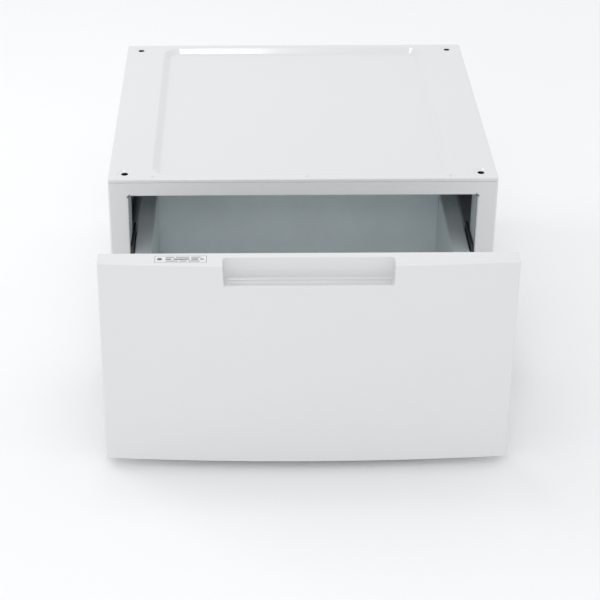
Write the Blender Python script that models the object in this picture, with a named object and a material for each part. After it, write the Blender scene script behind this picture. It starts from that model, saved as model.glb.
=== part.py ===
"""A laundry pedestal with one storage drawer, in metres, +Z up.

A folded steel cabinet stands on four levelling legs. Its drawer runs on two ball slides of three
members each, and is modelled partly pulled out. Every piece is drawn in the cabinet's own frame,
where x = 0 is the middle, y = 0 the front face, +y the back and z = 0 the floor, with the drawer
closed. One empty for each moving body then shifts its pieces to the open position.
"""

import math

import bmesh
import bpy
from mathutils import Vector

# Cabinet
CABINET_WIDTH = 0.686
CABINET_DEPTH = 0.648
CABINET_HEIGHT = 0.394
BODY_BOTTOM = 0.022
SHEET = 0.001
STRONG_SHEET = 0.0015
GAP = 0.0003
BEND = 0.002
HALF_WIDTH = CABINET_WIDTH / 2
INNER_HALF = HALF_WIDTH - SHEET - GAP

# Top deck, a shallow lid with a pressed pan and four holes for the appliance's bolts
DECK_SKIRT = 0.006
DECK_BEND = 0.002
DECK_CORNER = 0.004
PAN_SIDE_INSET = 0.076
PAN_FRONT_INSET = 0.020
PAN_REAR_INSET = 0.016
PAN_CORNER = 0.034
PAN_RAMP = 0.013
PAN_DEPTH = 0.009
PAN_FILLET = 0.006
DECK_HOLE_X = 0.3145
DECK_HOLES_Y = (0.026, 0.621)
DECK_HOLE_RADIUS = 0.0062

# Front frame and its drawer opening
FRAME_DEPTH = 0.014
FRAME_TOP = CABINET_HEIGHT - DECK_SKIRT - GAP
FRAME_SIDE_BEND = 0.004
OPENING_HALF = 0.308
OPENING_BOTTOM = 0.062
OPENING_TOP = CABINET_HEIGHT - 0.0323
OPENING_FLANGE = 0.016
OPENING_CORNER = 0.004

# Back of the cabinet
SIDE_REAR = 0.6455
SIDE_REAR_FLANGE = 0.025
REAR_PANEL_FACE = SIDE_REAR - SHEET - GAP
REAR_SCREW_X = 0.3295
REAR_SCREWS_Z = (0.100, 0.310)
INSIDE_FRONT = 0.0165
INSIDE_REAR = REAR_PANEL_FACE - SHEET - GAP

# Base rails, deck channels, columns and slide brackets inside the cabinet
RAIL_TOP = 0.054
RAIL_WIDTH = 0.0512
CROSS_RAIL_DEPTH = 0.040
CHANNEL_INNER = 0.2805
CHANNEL_OUTER = 0.338
CHANNEL_FLANGE = 0.009
CHANNEL_DEPTH = 0.022
CHANNEL_SLOPE = 0.002
COLUMN_DEPTH = 0.058
BRACKET_HALF_HEIGHT = 0.0222
GUIDE_LENGTH = 0.100
GUIDE_INNER = 0.3030
GUIDE_TOP = 0.258

# Drawer travel: the closed drawer front stands CLOSED_GAP off the cabinet
CLOSED_GAP = 0.003
DRAWER_OUT = 0.267

# Drawer front
FRONT_WIDTH = 0.680
FRONT_BOTTOM = 0.016
FRONT_TOP = 0.390
FRONT_DEPTH = 0.0356
FRONT_BOW = 0.0136
FRONT_WALL = 0.0025
FRONT_CORNER = 0.0035
FRONT_EDGE = 0.003
BOW_STEPS = 16
LINER = 0.0015

# Finger scoop in the top of the drawer front
SCOOP_HALF = 0.139
SCOOP_REAR = 0.015
SCOOP_LIP = 0.036
SCOOP_DEPTH = 0.046
SCOOP_CORNER = 0.006
SCOOP_DRAFT = 0.002
SCOOP_TAPER = 0.006
LIP_WALL = 0.005
LEDGE = 0.0005

# Drawer box
BOX_HALF = 0.2695
BOX_OUTER = 0.3015
BOX_TOP = 0.247
BOX_FLOOR = 0.0715
BOX_SKIRT_BOTTOM = 0.241
BOX_LENGTH = 0.520
BOX_FLANGE = 0.015
FLOOR_BORDER = 0.030
FLOOR_PRESS = 0.002
SCREW_X = 0.200
SCREWS_Z = (0.110, 0.215)
BOSS_RADIUS = 0.0055
BUMPER_X = 0.3255
BUMPERS_Z = (0.050, 0.345)

# Ball slides, sizes across the slide measured from the drawer's outer wall
SLIDE_Z = 0.212
SLIDE_FRONT = 0.004
SLIDE_LENGTH = 0.508
SLIDE_SHEET = 0.0012
SLIDE_FACE = BOX_HALF + SHEET + GAP
SLIDE_THICKNESS = 0.0127
SLIDE_PLAY = 0.00035
OUTER_HALF_HEIGHT = 0.0225
MIDDLE_HALF_HEIGHT = 0.0172
INNER_HALF_HEIGHT = 0.0124
OUTER_TIP = SLIDE_FACE + 0.0025
MIDDLE_TIP = SLIDE_FACE + 0.0030
OUTER_CAGE_TIP = SLIDE_FACE + 0.0038
INNER_CAGE_TIP = SLIDE_FACE + 0.0034
CAGE_LENGTH = 0.200
CAGE_SHEET = 0.0005
BALLS_PER_ROW = 5

# Release lever on each inner slide member
LEVER_PIVOT_Y = 0.235
LEVER_LENGTH = 0.045
LEVER_PAD_LENGTH = 0.011
LEVER_BAR_HALF = 0.0022
LEVER_PAD_HALF = 0.0032
LEVER_HUB_RADIUS = 0.0045
LEVER_STANDOFF = 0.0010
LEVER_THICKNESS = 0.0040
LEVER_PIN_RADIUS = 0.0015
LEVER_PIN_LENGTH = 0.0056
PIN_SIDES = 12

# Levelling legs
LEG_X = 0.3135
LEGS_Y = {"front": 0.040, "rear": 0.604}
STEM_RADIUS = 0.0048
STEM_TOP = 0.050
STEM_CHAMFER = 0.001
STEM_PLAY = 0.0004
PAD_RADIUS = 0.018
PAD_HEIGHT = 0.010
SOCKET_FLOOR = 0.0040
HEX_WIDTH = 0.017
COLLAR_HEIGHT = 0.0045
NUT_CLEARANCE = 0.0006

SIDES = {"left": -1, "right": 1}


# ---------------------------------------------------------------------------------------- scene


def clear_scene():
    for obj in list(bpy.data.objects):
        bpy.data.objects.remove(obj, do_unlink=True)


def make_material(name, color, roughness, metallic=0.0):
    material = bpy.data.materials.new(name)
    material.use_nodes = True
    shader = material.node_tree.nodes["Principled BSDF"]
    shader.inputs["Base Color"].default_value = (*color, 1.0)
    shader.inputs["Roughness"].default_value = roughness
    shader.inputs["Metallic"].default_value = metallic
    return material


def make_empty(name, location, parent=None):
    empty = bpy.data.objects.new(name, None)
    empty.location = location
    empty.parent = parent
    empty.empty_display_size = 0.05
    bpy.context.scene.collection.objects.link(empty)
    return empty


def make_object(name, vertices, faces, material=None, parent=None, location=(0, 0, 0)):
    """A closed solid from its points and faces, with the faces turned to point outwards."""
    mesh = bpy.data.meshes.new(name)
    mesh.from_pydata([tuple(point) for point in vertices], [], faces)
    shape = bmesh.new()
    shape.from_mesh(mesh)
    bmesh.ops.recalc_face_normals(shape, faces=shape.faces)
    shape.to_mesh(mesh)
    shape.free()
    mesh.shade_smooth()
    mesh.set_sharp_from_angle(angle=math.radians(35))
    if material:
        mesh.materials.append(material)
    obj = bpy.data.objects.new(name, mesh)
    obj.location = location
    obj.parent = parent
    bpy.context.scene.collection.objects.link(obj)
    return obj


def add_boolean(obj, other, operation):
    """Cut with, or join, another solid, which is then only a guide."""
    other.hide_render = True
    other.display_type = "WIRE"
    modifier = obj.modifiers.new(other.name, "BOOLEAN")
    modifier.operation = operation
    modifier.solver = "EXACT"
    modifier.object = other


# -------------------------------------------------------------------------- outlines and solids


def rounded_line(corners, radii, steps):
    """The open line through these corners, each inner corner turned by an arc of its own radius."""
    line = [Vector(corners[0])]
    for before, here, after, radius in zip(corners, corners[1:], corners[2:], radii):
        corner = Vector(here)
        back = (Vector(before) - corner).normalized()
        ahead = (Vector(after) - corner).normalized()
        half_angle = back.angle(ahead) / 2
        reach = radius / math.tan(half_angle)
        centre = corner + (back + ahead).normalized() * radius / math.sin(half_angle)
        start = corner + back * reach - centre
        end = corner + ahead * reach - centre
        turn = math.atan2(start.x * end.y - start.y * end.x, start.dot(end))
        first = math.atan2(start.y, start.x)
        for step in range(steps + 1):
            angle = first + turn * step / steps
            line.append(centre + radius * Vector((math.cos(angle), math.sin(angle))))
    line.append(Vector(corners[-1]))
    return line


def folded_outline(corners, thickness, radii, steps=4):
    """The closed section of a folded sheet. Positive thickness lies left of the line of travel."""
    line = rounded_line(corners, radii, steps)
    ways = [(after - before).normalized() for before, after in zip(line, line[1:])]
    other_face = []
    for index, point in enumerate(line):
        arriving = ways[max(index - 1, 0)]
        leaving = ways[min(index, len(ways) - 1)]
        left_in = Vector((-arriving.y, arriving.x))
        left_out = Vector((-leaving.y, leaving.x))
        mitre = (left_in + left_out).normalized()
        other_face.append(point + mitre * thickness / mitre.dot(left_in))
    return line + other_face[::-1]


def mirrored(outline, side):
    return [(side * u, v) for u, v in outline]


def place(u, v, w, axis):
    """A point of a section at w along the axis: sections are (x, y), (x, z) or (y, z)."""
    return {"Z": (u, v, w), "Y": (u, w, v), "X": (w, u, v)}[axis]


def stacked(name, loops, closed_ring, **object_settings):
    """A solid from loops of equal length, bridged in order. A ring's last loop meets its first."""
    count = len(loops[0])
    vertices = [point for loop in loops for point in loop]
    last = len(loops) if closed_ring else len(loops) - 1
    faces = []
    for row in range(last):
        here = row * count
        there = (row + 1) % len(loops) * count
        for index in range(count):
            ahead = (index + 1) % count
            faces.append((here + index, here + ahead, there + ahead, there + index))
    if not closed_ring:
        faces.append(tuple(range(count)))
        faces.append(tuple(range(len(vertices) - count, len(vertices))))
    return make_object(name, vertices, faces, **object_settings)


def prism(name, outline, axis, start, end, **object_settings):
    loops = [[place(u, v, w, axis) for u, v in outline] for w in (start, end)]
    return stacked(name, loops, False, **object_settings)


def turned(name, profile, sides, axis="Z", closed_ring=False, **object_settings):
    """A solid of revolution through its (radius, height) points, around the axis."""
    loops = []
    for radius, height in profile:
        loop = []
        for index in range(sides):
            angle = 2 * math.pi * index / sides
            loop.append(place(radius * math.cos(angle), radius * math.sin(angle), height, axis))
        loops.append(loop)
    return stacked(name, loops, closed_ring, **object_settings)


def rounded_rectangle(u_low, u_high, v_low, v_high, radius, steps=4):
    centres = [(u_high, v_high, 0), (u_low, v_high, 1), (u_low, v_low, 2), (u_high, v_low, 3)]
    points = []
    for u, v, quarter in centres:
        centre_u = u - radius if u == u_high else u + radius
        centre_v = v - radius if v == v_high else v + radius
        for step in range(steps + 1):
            angle = math.pi / 2 * (quarter + step / steps)
            points.append((centre_u + radius * math.cos(angle), centre_v + radius * math.sin(angle)))
    return points


def between(low, high, share):
    share = min(max(share, 0.0), 1.0)
    return low + (high - low) * share


def hole_cutter(name, radius, places, axis, start, end, parent, sides=16):
    """One guide holding a straight cutter for each place, for holes of one size."""
    vertices = []
    faces = []
    for u, v in places:
        base = len(vertices)
        for w in (start, end):
            for index in range(sides):
                angle = 2 * math.pi * index / sides
                across = radius * math.cos(angle)
                up = radius * math.sin(angle)
                vertices.append(place(u + across, v + up, w, axis))
        for index in range(sides):
            ahead = (index + 1) % sides
            faces.append((base + index, base + ahead, base + sides + ahead, base + sides + index))
        faces.append(tuple(base + index for index in range(sides)))
        faces.append(tuple(base + sides + index for index in range(sides)))
    return make_object(name, vertices, faces, parent=parent)


def pressed_plate(name, bounds, face, border, depth, axis, **object_settings):
    """A sheet with a pressed field: bounds are its section's limits, and face is the border's w.

    The thickness lies on the low side of the face, and the field is pressed towards it by depth."""
    u_low, u_high, v_low, v_high = bounds
    ramp = 0.006
    corners = [(0, face), (border, face), (border + ramp, face - depth), (border + 2 * ramp, face - depth)]
    section = folded_outline(corners, -SHEET, (0.003, 0.003), 2)
    loops = []
    for inset, w in section:
        radius = 0.003 + between(0.0, 0.020, inset / border)
        ring = rounded_rectangle(u_low + inset, u_high - inset, v_low + inset, v_high - inset, radius)
        loops.append([place(u, v, w, axis) for u, v in ring])
    half = len(loops) // 2
    # The section runs inwards on the face and back outwards behind it, so the sheet starts and
    # ends at the middle of the field.
    return stacked(name, loops[half - 1::-1] + loops[:half - 1:-1], False, **object_settings)


# ------------------------------------------------------------------------------ cabinet pieces


def add_top_deck(parent, material):
    top = CABINET_HEIGHT
    flat = 0.010
    edge = PAN_REAR_INSET
    corners = [
        (0, top - DECK_SKIRT),
        (0, top),
        (edge, top),
        (edge + PAN_RAMP, top - PAN_DEPTH),
        (edge + PAN_RAMP + PAN_FILLET, top - PAN_DEPTH),
    ]
    section = folded_outline(corners, -SHEET, (DECK_BEND, PAN_FILLET, PAN_FILLET), 3)
    loops = []
    for inset, z in section:
        # Outside the flat the insets are equal; across it they grow to the pan's own insets.
        share = (inset - flat) / (edge - flat)
        side = inset + between(0.0, PAN_SIDE_INSET - edge, share)
        front = inset + between(0.0, PAN_FRONT_INSET - edge, share)
        ramp_share = (inset - edge) / PAN_RAMP
        radius = between(DECK_CORNER, PAN_CORNER, share) - between(0.0, PAN_RAMP, ramp_share)
        if inset < flat:
            radius = max(DECK_CORNER - inset / 2, 0.001)
        ring = rounded_rectangle(
            -HALF_WIDTH + side, HALF_WIDTH - side, front, CABINET_DEPTH - inset, radius
        )
        loops.append([(x, y, z) for x, y in ring])
    half = len(loops) // 2
    deck = stacked(
        "top_deck",
        loops[half - 1::-1] + loops[:half - 1:-1],
        False,
        material=material,
        parent=parent,
    )
    places = [(side * DECK_HOLE_X, y) for side in SIDES.values() for y in DECK_HOLES_Y]
    holes = hole_cutter(
        "deck_bolt_holes", DECK_HOLE_RADIUS, places, "Z", top - 0.010, top + 0.010, parent
    )
    add_boolean(deck, holes, "DIFFERENCE")


def frame_drop(inset, total):
    """How far a ring of the front frame stands off its top or bottom edge, at an inset from its side."""
    width = HALF_WIDTH - OPENING_HALF
    start, end = FRAME_SIDE_BEND, width - BEND
    if inset <= start:
        return inset / 4
    if inset >= end:
        return total - (width - inset)
    return between(start / 4, total - BEND, (inset - start) / (end - start))


def add_front_frame(parent, material):
    """A folded ring: an outer flange, the face, and a flange turned in round the opening."""
    face_width = HALF_WIDTH - OPENING_HALF
    corners = [
        (0, FRAME_DEPTH),
        (0, 0),
        (face_width, 0),
        (face_width, OPENING_FLANGE),
    ]
    section = folded_outline(corners, SHEET, (FRAME_SIDE_BEND, BEND), 4)
    loops = []
    for inset, y in section:
        # The side edges have the full bend. The top and bottom edges stay crisp, so that the
        # top one meets the deck's skirt.
        low = BODY_BOTTOM + frame_drop(inset, OPENING_BOTTOM - BODY_BOTTOM)
        high = FRAME_TOP - frame_drop(inset, FRAME_TOP - OPENING_TOP)
        radius = between(0.0015, OPENING_CORNER, inset / face_width)
        ring = rounded_rectangle(-HALF_WIDTH + inset, HALF_WIDTH - inset, low, high, radius, 3)
        loops.append([(x, y, z) for x, z in ring])
    stacked("front_frame", loops, True, material=material, parent=parent)


def add_side_panels(parent, material, holes):
    corners = [
        (HALF_WIDTH, FRAME_DEPTH + GAP),
        (HALF_WIDTH, SIDE_REAR),
        (HALF_WIDTH - SIDE_REAR_FLANGE, SIDE_REAR),
    ]
    outline = folded_outline(corners, SHEET, (BEND * 1.5,))
    for name, side in SIDES.items():
        panel = prism(
            f"{name}_side_panel",
            mirrored(outline, side),
            "Z",
            BODY_BOTTOM,
            FRAME_TOP,
            material=material,
            parent=parent,
        )
        add_boolean(panel, holes, "DIFFERENCE")


def add_rear_panel(parent, material, holes):
    bounds = (-INNER_HALF + 0.001, INNER_HALF - 0.001, BODY_BOTTOM + 0.0025, FRAME_TOP - 0.002)
    panel = pressed_plate(
        "rear_panel", bounds, REAR_PANEL_FACE, 0.058, 0.004, "Y", material=material, parent=parent
    )
    add_boolean(panel, holes, "DIFFERENCE")


def add_base_rails(parent, material):
    """Four C rails: the side ones carry the legs, and the cross ones tie them together."""
    inner = INNER_HALF - RAIL_WIDTH
    corners = [
        (inner, BODY_BOTTOM),
        (INNER_HALF, BODY_BOTTOM),
        (INNER_HALF, RAIL_TOP),
        (inner, RAIL_TOP),
    ]
    outline = folded_outline(corners, STRONG_SHEET, (BEND, BEND), 3)
    places = [(side * LEG_X, y) for side in SIDES.values() for y in LEGS_Y.values()]
    holes = hole_cutter(
        "leg_holes", STEM_RADIUS + 0.0005, places, "Z", 0.0, BODY_BOTTOM + 0.010, parent
    )
    for name, side in SIDES.items():
        rail = prism(
            f"{name}_base_rail",
            mirrored(outline, side),
            "Y",
            INSIDE_FRONT,
            INSIDE_REAR,
            material=material,
            parent=parent,
        )
        add_boolean(rail, holes, "DIFFERENCE")
    for name, near, far in (
        ("front", INSIDE_FRONT, INSIDE_FRONT + CROSS_RAIL_DEPTH),
        ("rear", INSIDE_REAR, INSIDE_REAR - CROSS_RAIL_DEPTH),
    ):
        corners = [(far, RAIL_TOP), (near, RAIL_TOP), (near, BODY_BOTTOM), (far, BODY_BOTTOM)]
        inwards = STRONG_SHEET if far > near else -STRONG_SHEET
        prism(
            f"{name}_base_rail",
            folded_outline(corners, inwards, (BEND, BEND), 3),
            "X",
            -inner + GAP,
            inner - GAP,
            material=material,
            parent=parent,
        )


def add_deck_channels(parent, material):
    """A hat section under each side strip of the deck, where the appliance stands."""
    top = CABINET_HEIGHT - SHEET - GAP
    low = top - CHANNEL_DEPTH
    corners = [
        (CHANNEL_INNER, top),
        (CHANNEL_INNER + CHANNEL_FLANGE, top),
        (CHANNEL_INNER + CHANNEL_FLANGE + CHANNEL_SLOPE, low),
        (CHANNEL_OUTER - CHANNEL_FLANGE - CHANNEL_SLOPE, low),
        (CHANNEL_OUTER - CHANNEL_FLANGE, top),
        (CHANNEL_OUTER, top),
    ]
    outline = folded_outline(corners, -STRONG_SHEET, (BEND, BEND, BEND, BEND), 3)
    for name, side in SIDES.items():
        prism(
            f"{name}_deck_channel",
            mirrored(outline, side),
            "Y",
            INSIDE_FRONT,
            INSIDE_REAR,
            material=material,
            parent=parent,
        )


def add_columns(parent, material):
    """A U section behind each front corner, level with the opening's edge, from rail to channel."""
    near = OPENING_FLANGE + GAP
    far = near + COLUMN_DEPTH
    head = CABINET_HEIGHT - SHEET - 2 * GAP - CHANNEL_DEPTH - STRONG_SHEET
    corners = [(INNER_HALF, near), (OPENING_HALF, near), (OPENING_HALF, far), (INNER_HALF, far)]
    outline = folded_outline(corners, -STRONG_SHEET, (BEND, BEND), 3)
    for name, side in SIDES.items():
        prism(
            f"front_column_{name}",
            mirrored(outline, side),
            "Z",
            RAIL_TOP + GAP,
            head,
            material=material,
            parent=parent,
        )


def add_slide_brackets(parent, steel, plastic):
    """A U section that carries each slide, with a plastic guide beside the drawer's rim in front."""
    face = SLIDE_FACE + SLIDE_THICKNESS + GAP
    low = SLIDE_Z - BRACKET_HALF_HEIGHT
    high = SLIDE_Z + BRACKET_HALF_HEIGHT
    outer = OPENING_HALF - GAP
    corners = [(outer, low), (face, low), (face, high), (outer, high)]
    outline = folded_outline(corners, -STRONG_SHEET, (BEND, BEND), 3)
    guide = [
        (face, low),
        (outer, low),
        (outer, GUIDE_TOP),
        (GUIDE_INNER, GUIDE_TOP),
        (GUIDE_INNER, high),
        (face, high),
    ]
    guide_end = SLIDE_FRONT + GUIDE_LENGTH
    for name, side in SIDES.items():
        prism(
            f"{name}_slide_bracket",
            mirrored(outline, side),
            "Y",
            guide_end + GAP,
            INSIDE_REAR,
            material=steel,
            parent=parent,
        )
        prism(
            f"slide_guide_{name}",
            mirrored(guide, side),
            "Y",
            SLIDE_FRONT,
            guide_end,
            material=plastic,
            parent=parent,
        )


def add_screw(name, length, material, parent, location, turn):
    """A pan-head screw along its own -Z, its head's underside at z = 0, turned to point inwards."""
    profile = [
        (0.0020, -length),
        (0.0020, 0.0),
        (0.0042, 0.0),
        (0.0042, 0.0009),
        (0.0030, 0.0021),
        (0.0014, 0.0023),
    ]
    screw = turned(name, profile, 12, material=material, parent=parent, location=location)
    screw.rotation_euler = turn


def add_rear_screws(parent, material):
    for name, side in SIDES.items():
        for level, z in zip(("low", "high"), REAR_SCREWS_Z):
            add_screw(
                f"rear_panel_screw_{name}_{level}",
                0.008,
                material,
                parent,
                (side * REAR_SCREW_X, SIDE_REAR + 0.0001, z),
                (-math.pi / 2, 0, 0),
            )


def build_cabinet(parent, materials):
    places = [(side * REAR_SCREW_X, z) for side in SIDES.values() for z in REAR_SCREWS_Z]
    holes = hole_cutter(
        "rear_screw_holes", 0.0024, places, "Y", SIDE_REAR - 0.010, SIDE_REAR + 0.010, parent, 12
    )
    add_top_deck(parent, materials["enamel"])
    add_front_frame(parent, materials["enamel"])
    add_side_panels(parent, materials["enamel"], holes)
    add_rear_panel(parent, materials["galvanised"], holes)
    add_base_rails(parent, materials["galvanised"])
    add_deck_channels(parent, materials["galvanised"])
    add_columns(parent, materials["galvanised"])
    add_slide_brackets(parent, materials["galvanised"], materials["black_plastic"])
    add_rear_screws(parent, materials["zinc"])


# --------------------------------------------------------------------------------- ball slides


def channel_outline(web, tip, half_height, thickness):
    """A C section about the slide's middle line: its web's outer face and its flanges' tips."""
    corners = [
        (tip, SLIDE_Z - half_height),
        (web, SLIDE_Z - half_height),
        (web, SLIDE_Z + half_height),
        (tip, SLIDE_Z + half_height),
    ]
    inwards = thickness if web > tip else -thickness
    bend = thickness + 0.0003
    return folded_outline(corners, inwards, (bend, bend), 2)


def add_slide_member(name, outline, side, material, parent):
    return prism(
        name,
        mirrored(outline, side),
        "Y",
        SLIDE_FRONT,
        SLIDE_FRONT + SLIDE_LENGTH,
        material=material,
        parent=parent,
    )


def add_ball_cage(name, web, tip, row_height, ball, side, materials, parent):
    """A folded strip with a row of balls along each arm."""
    middle = SLIDE_FRONT + SLIDE_LENGTH / 2
    outline = channel_outline(web, tip, row_height + CAGE_SHEET / 2, CAGE_SHEET)
    cage = prism(
        name,
        mirrored(outline, side),
        "Y",
        middle - CAGE_LENGTH / 2,
        middle + CAGE_LENGTH / 2,
        material=materials["zinc"],
        parent=parent,
    )
    spacing = CAGE_LENGTH / BALLS_PER_ROW
    balls = bmesh.new()
    for row in (-1, 1):
        for index in range(BALLS_PER_ROW):
            made = bmesh.ops.create_uvsphere(balls, u_segments=8, v_segments=4, radius=ball)
            y = middle + (index + 0.5 - BALLS_PER_ROW / 2) * spacing
            offset = Vector((side * (web + tip) / 2, y, SLIDE_Z + row * row_height))
            bmesh.ops.translate(balls, verts=made["verts"], vec=offset)
    mesh = bpy.data.meshes.new(f"{name}_balls")
    balls.to_mesh(mesh)
    balls.free()
    guide = bpy.data.objects.new(f"{name}_balls", mesh)
    guide.parent = parent
    bpy.context.scene.collection.objects.link(guide)
    add_boolean(cage, guide, "UNION")


def add_release_lever(name, side, material, parent):
    """A flat lever with a thumb pad, hinged at the origin of its empty, inside the inner member."""
    hub = make_empty(f"{name}_pivot", (0, LEVER_PIVOT_Y, SLIDE_Z), parent)
    low = SLIDE_FACE + SLIDE_SHEET + LEVER_STANDOFF
    high = low + LEVER_THICKNESS
    angles = [math.radians(-60 + 24 * step) for step in range(6)]
    hub_end = [(LEVER_HUB_RADIUS * math.cos(turn), LEVER_HUB_RADIUS * math.sin(turn)) for turn in angles]
    pad_start = LEVER_LENGTH - LEVER_PAD_LENGTH
    upper = [
        (LEVER_BAR_HALF * 2 - pad_start, LEVER_BAR_HALF),
        (-pad_start, LEVER_PAD_HALF),
        (-LEVER_LENGTH, LEVER_PAD_HALF),
    ]
    lower = [(y, -z) for y, z in reversed(upper)]
    lever = prism(
        name, hub_end + upper + lower, "X", side * low, side * high, material=material, parent=hub
    )
    hole = hole_cutter(
        f"{name}_hole",
        LEVER_PIN_RADIUS + GAP,
        [(0, 0)],
        "X",
        side * (low - LEVER_STANDOFF),
        side * (high + LEVER_STANDOFF),
        hub,
        PIN_SIDES,
    )
    add_boolean(lever, hole, "DIFFERENCE")


def build_slides(bodies, materials):
    outer_web = SLIDE_FACE + SLIDE_THICKNESS
    outer_cage_web = outer_web - SLIDE_SHEET - SLIDE_PLAY
    middle_web = outer_cage_web - CAGE_SHEET - SLIDE_PLAY
    inner_cage_web = middle_web - SLIDE_SHEET - GAP
    inner_tip = inner_cage_web - CAGE_SHEET - SLIDE_PLAY
    outer_row = (OUTER_HALF_HEIGHT - SLIDE_SHEET + MIDDLE_HALF_HEIGHT) / 2
    inner_row = (MIDDLE_HALF_HEIGHT - SLIDE_SHEET + INNER_HALF_HEIGHT) / 2
    outer_ball = (OUTER_HALF_HEIGHT - SLIDE_SHEET - MIDDLE_HALF_HEIGHT) / 2 - GAP
    inner_ball = (MIDDLE_HALF_HEIGHT - SLIDE_SHEET - INNER_HALF_HEIGHT) / 2 - GAP
    outer = channel_outline(outer_web, OUTER_TIP, OUTER_HALF_HEIGHT, SLIDE_SHEET)
    middle = channel_outline(middle_web, MIDDLE_TIP, MIDDLE_HALF_HEIGHT, SLIDE_SHEET)
    inner = channel_outline(SLIDE_FACE, inner_tip, INNER_HALF_HEIGHT, SLIDE_SHEET)
    drawer = bodies["drawer"]
    for name, side in SIDES.items():
        add_slide_member(f"slide_outer_{name}", outer, side, materials["zinc"], bodies["cabinet"])
        add_slide_member(f"slide_middle_{name}", middle, side, materials["zinc"], bodies["slide_middle"])
        member = add_slide_member(f"slide_inner_{name}", inner, side, materials["zinc"], drawer)
        web = side * (SLIDE_FACE + SLIDE_SHEET / 2)
        pin_end = side * (SLIDE_FACE + SLIDE_SHEET + LEVER_PIN_LENGTH)
        pin_place = [(LEVER_PIVOT_Y, SLIDE_Z)]
        pin = hole_cutter(
            f"lever_pin_{name}", LEVER_PIN_RADIUS, pin_place, "X", web, pin_end, drawer, PIN_SIDES
        )
        add_boolean(member, pin, "UNION")
        add_ball_cage(
            f"ball_cage_outer_{name}",
            outer_cage_web,
            OUTER_CAGE_TIP,
            outer_row,
            outer_ball,
            side,
            materials,
            bodies["cage_outer"],
        )
        add_ball_cage(
            f"ball_cage_inner_{name}",
            inner_cage_web,
            INNER_CAGE_TIP,
            inner_row,
            inner_ball,
            side,
            materials,
            bodies["cage_inner"],
        )
        add_release_lever(f"release_lever_{name}", side, materials["black_plastic"], drawer)


# -------------------------------------------------------------------------------------- drawer


def bow(x):
    """How far the drawer front's face stands ahead of its ends at this x, on a circular arc."""
    radius = ((FRONT_WIDTH / 2) ** 2 + FRONT_BOW**2) / (2 * FRONT_BOW)
    return FRONT_BOW - radius + math.sqrt(radius**2 - x**2)


def front_outline(inset, rear):
    """The plan of the drawer front, drawn in from its outer faces by inset, with its rear at y."""
    half = FRONT_WIDTH / 2 - inset
    back = -CLOSED_GAP - FRONT_DEPTH + inset
    radius = max(FRONT_CORNER - inset, 0.001)
    reach = half - FRONT_CORNER - 0.002
    face = []
    for step in range(BOW_STEPS + 1):
        x = reach * (2 * step / BOW_STEPS - 1)
        face.append((x, back - bow(x)))
    left = rounded_line([(-half, rear), (-half, back - bow(half)), face[0]], (radius,), 3)[:-1]
    right = [(-x, y) for x, y in reversed(left)]
    return [tuple(point) for point in left] + face + right


def scoop_outline(half, rear, front):
    """A plan with round rear corners, its front edge following the bow or going straight."""
    points = []
    for step in range(5):
        angle = math.pi / 2 * step / 4
        x = half - SCOOP_CORNER + SCOOP_CORNER * math.sin(angle)
        y = rear - SCOOP_CORNER + SCOOP_CORNER * math.cos(angle)
        points.append((x, y))
    front_points = []
    for step in range(BOW_STEPS + 1):
        x = half * (1 - 2 * step / BOW_STEPS)
        front_points.append((x, front(x)))
    return points + front_points + [(-x, y) for x, y in reversed(points)]


def add_scoop_cutter(parent):
    """The scoop's air: open in front down to the lip, then a pocket behind it."""
    rear = -CLOSED_GAP - SCOOP_REAR

    def lip_back(x):
        return -CLOSED_GAP - FRONT_DEPTH - bow(x) + LIP_WALL

    def ahead_of_face(x):
        return -CLOSED_GAP - FRONT_DEPTH - FRONT_BOW - 0.020

    lip = FRONT_TOP - SCOOP_LIP
    levels = [
        (FRONT_TOP + 0.005, 0.0, ahead_of_face),
        (lip, SCOOP_DRAFT, ahead_of_face),
        (lip, SCOOP_DRAFT + LEDGE, lip_back),
        (FRONT_TOP - SCOOP_DEPTH + SCOOP_TAPER, 2 * SCOOP_DRAFT, lip_back),
        (FRONT_TOP - SCOOP_DEPTH, 2 * SCOOP_DRAFT + SCOOP_TAPER, lambda x: lip_back(x) + SCOOP_TAPER),
    ]
    loops = []
    for z, draft, front in levels:
        plan = scoop_outline(SCOOP_HALF - draft, rear - draft, front)
        loops.append([(x, y, z) for x, y in plan])
    return stacked("scoop_air", loops, False, parent=parent)


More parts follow.
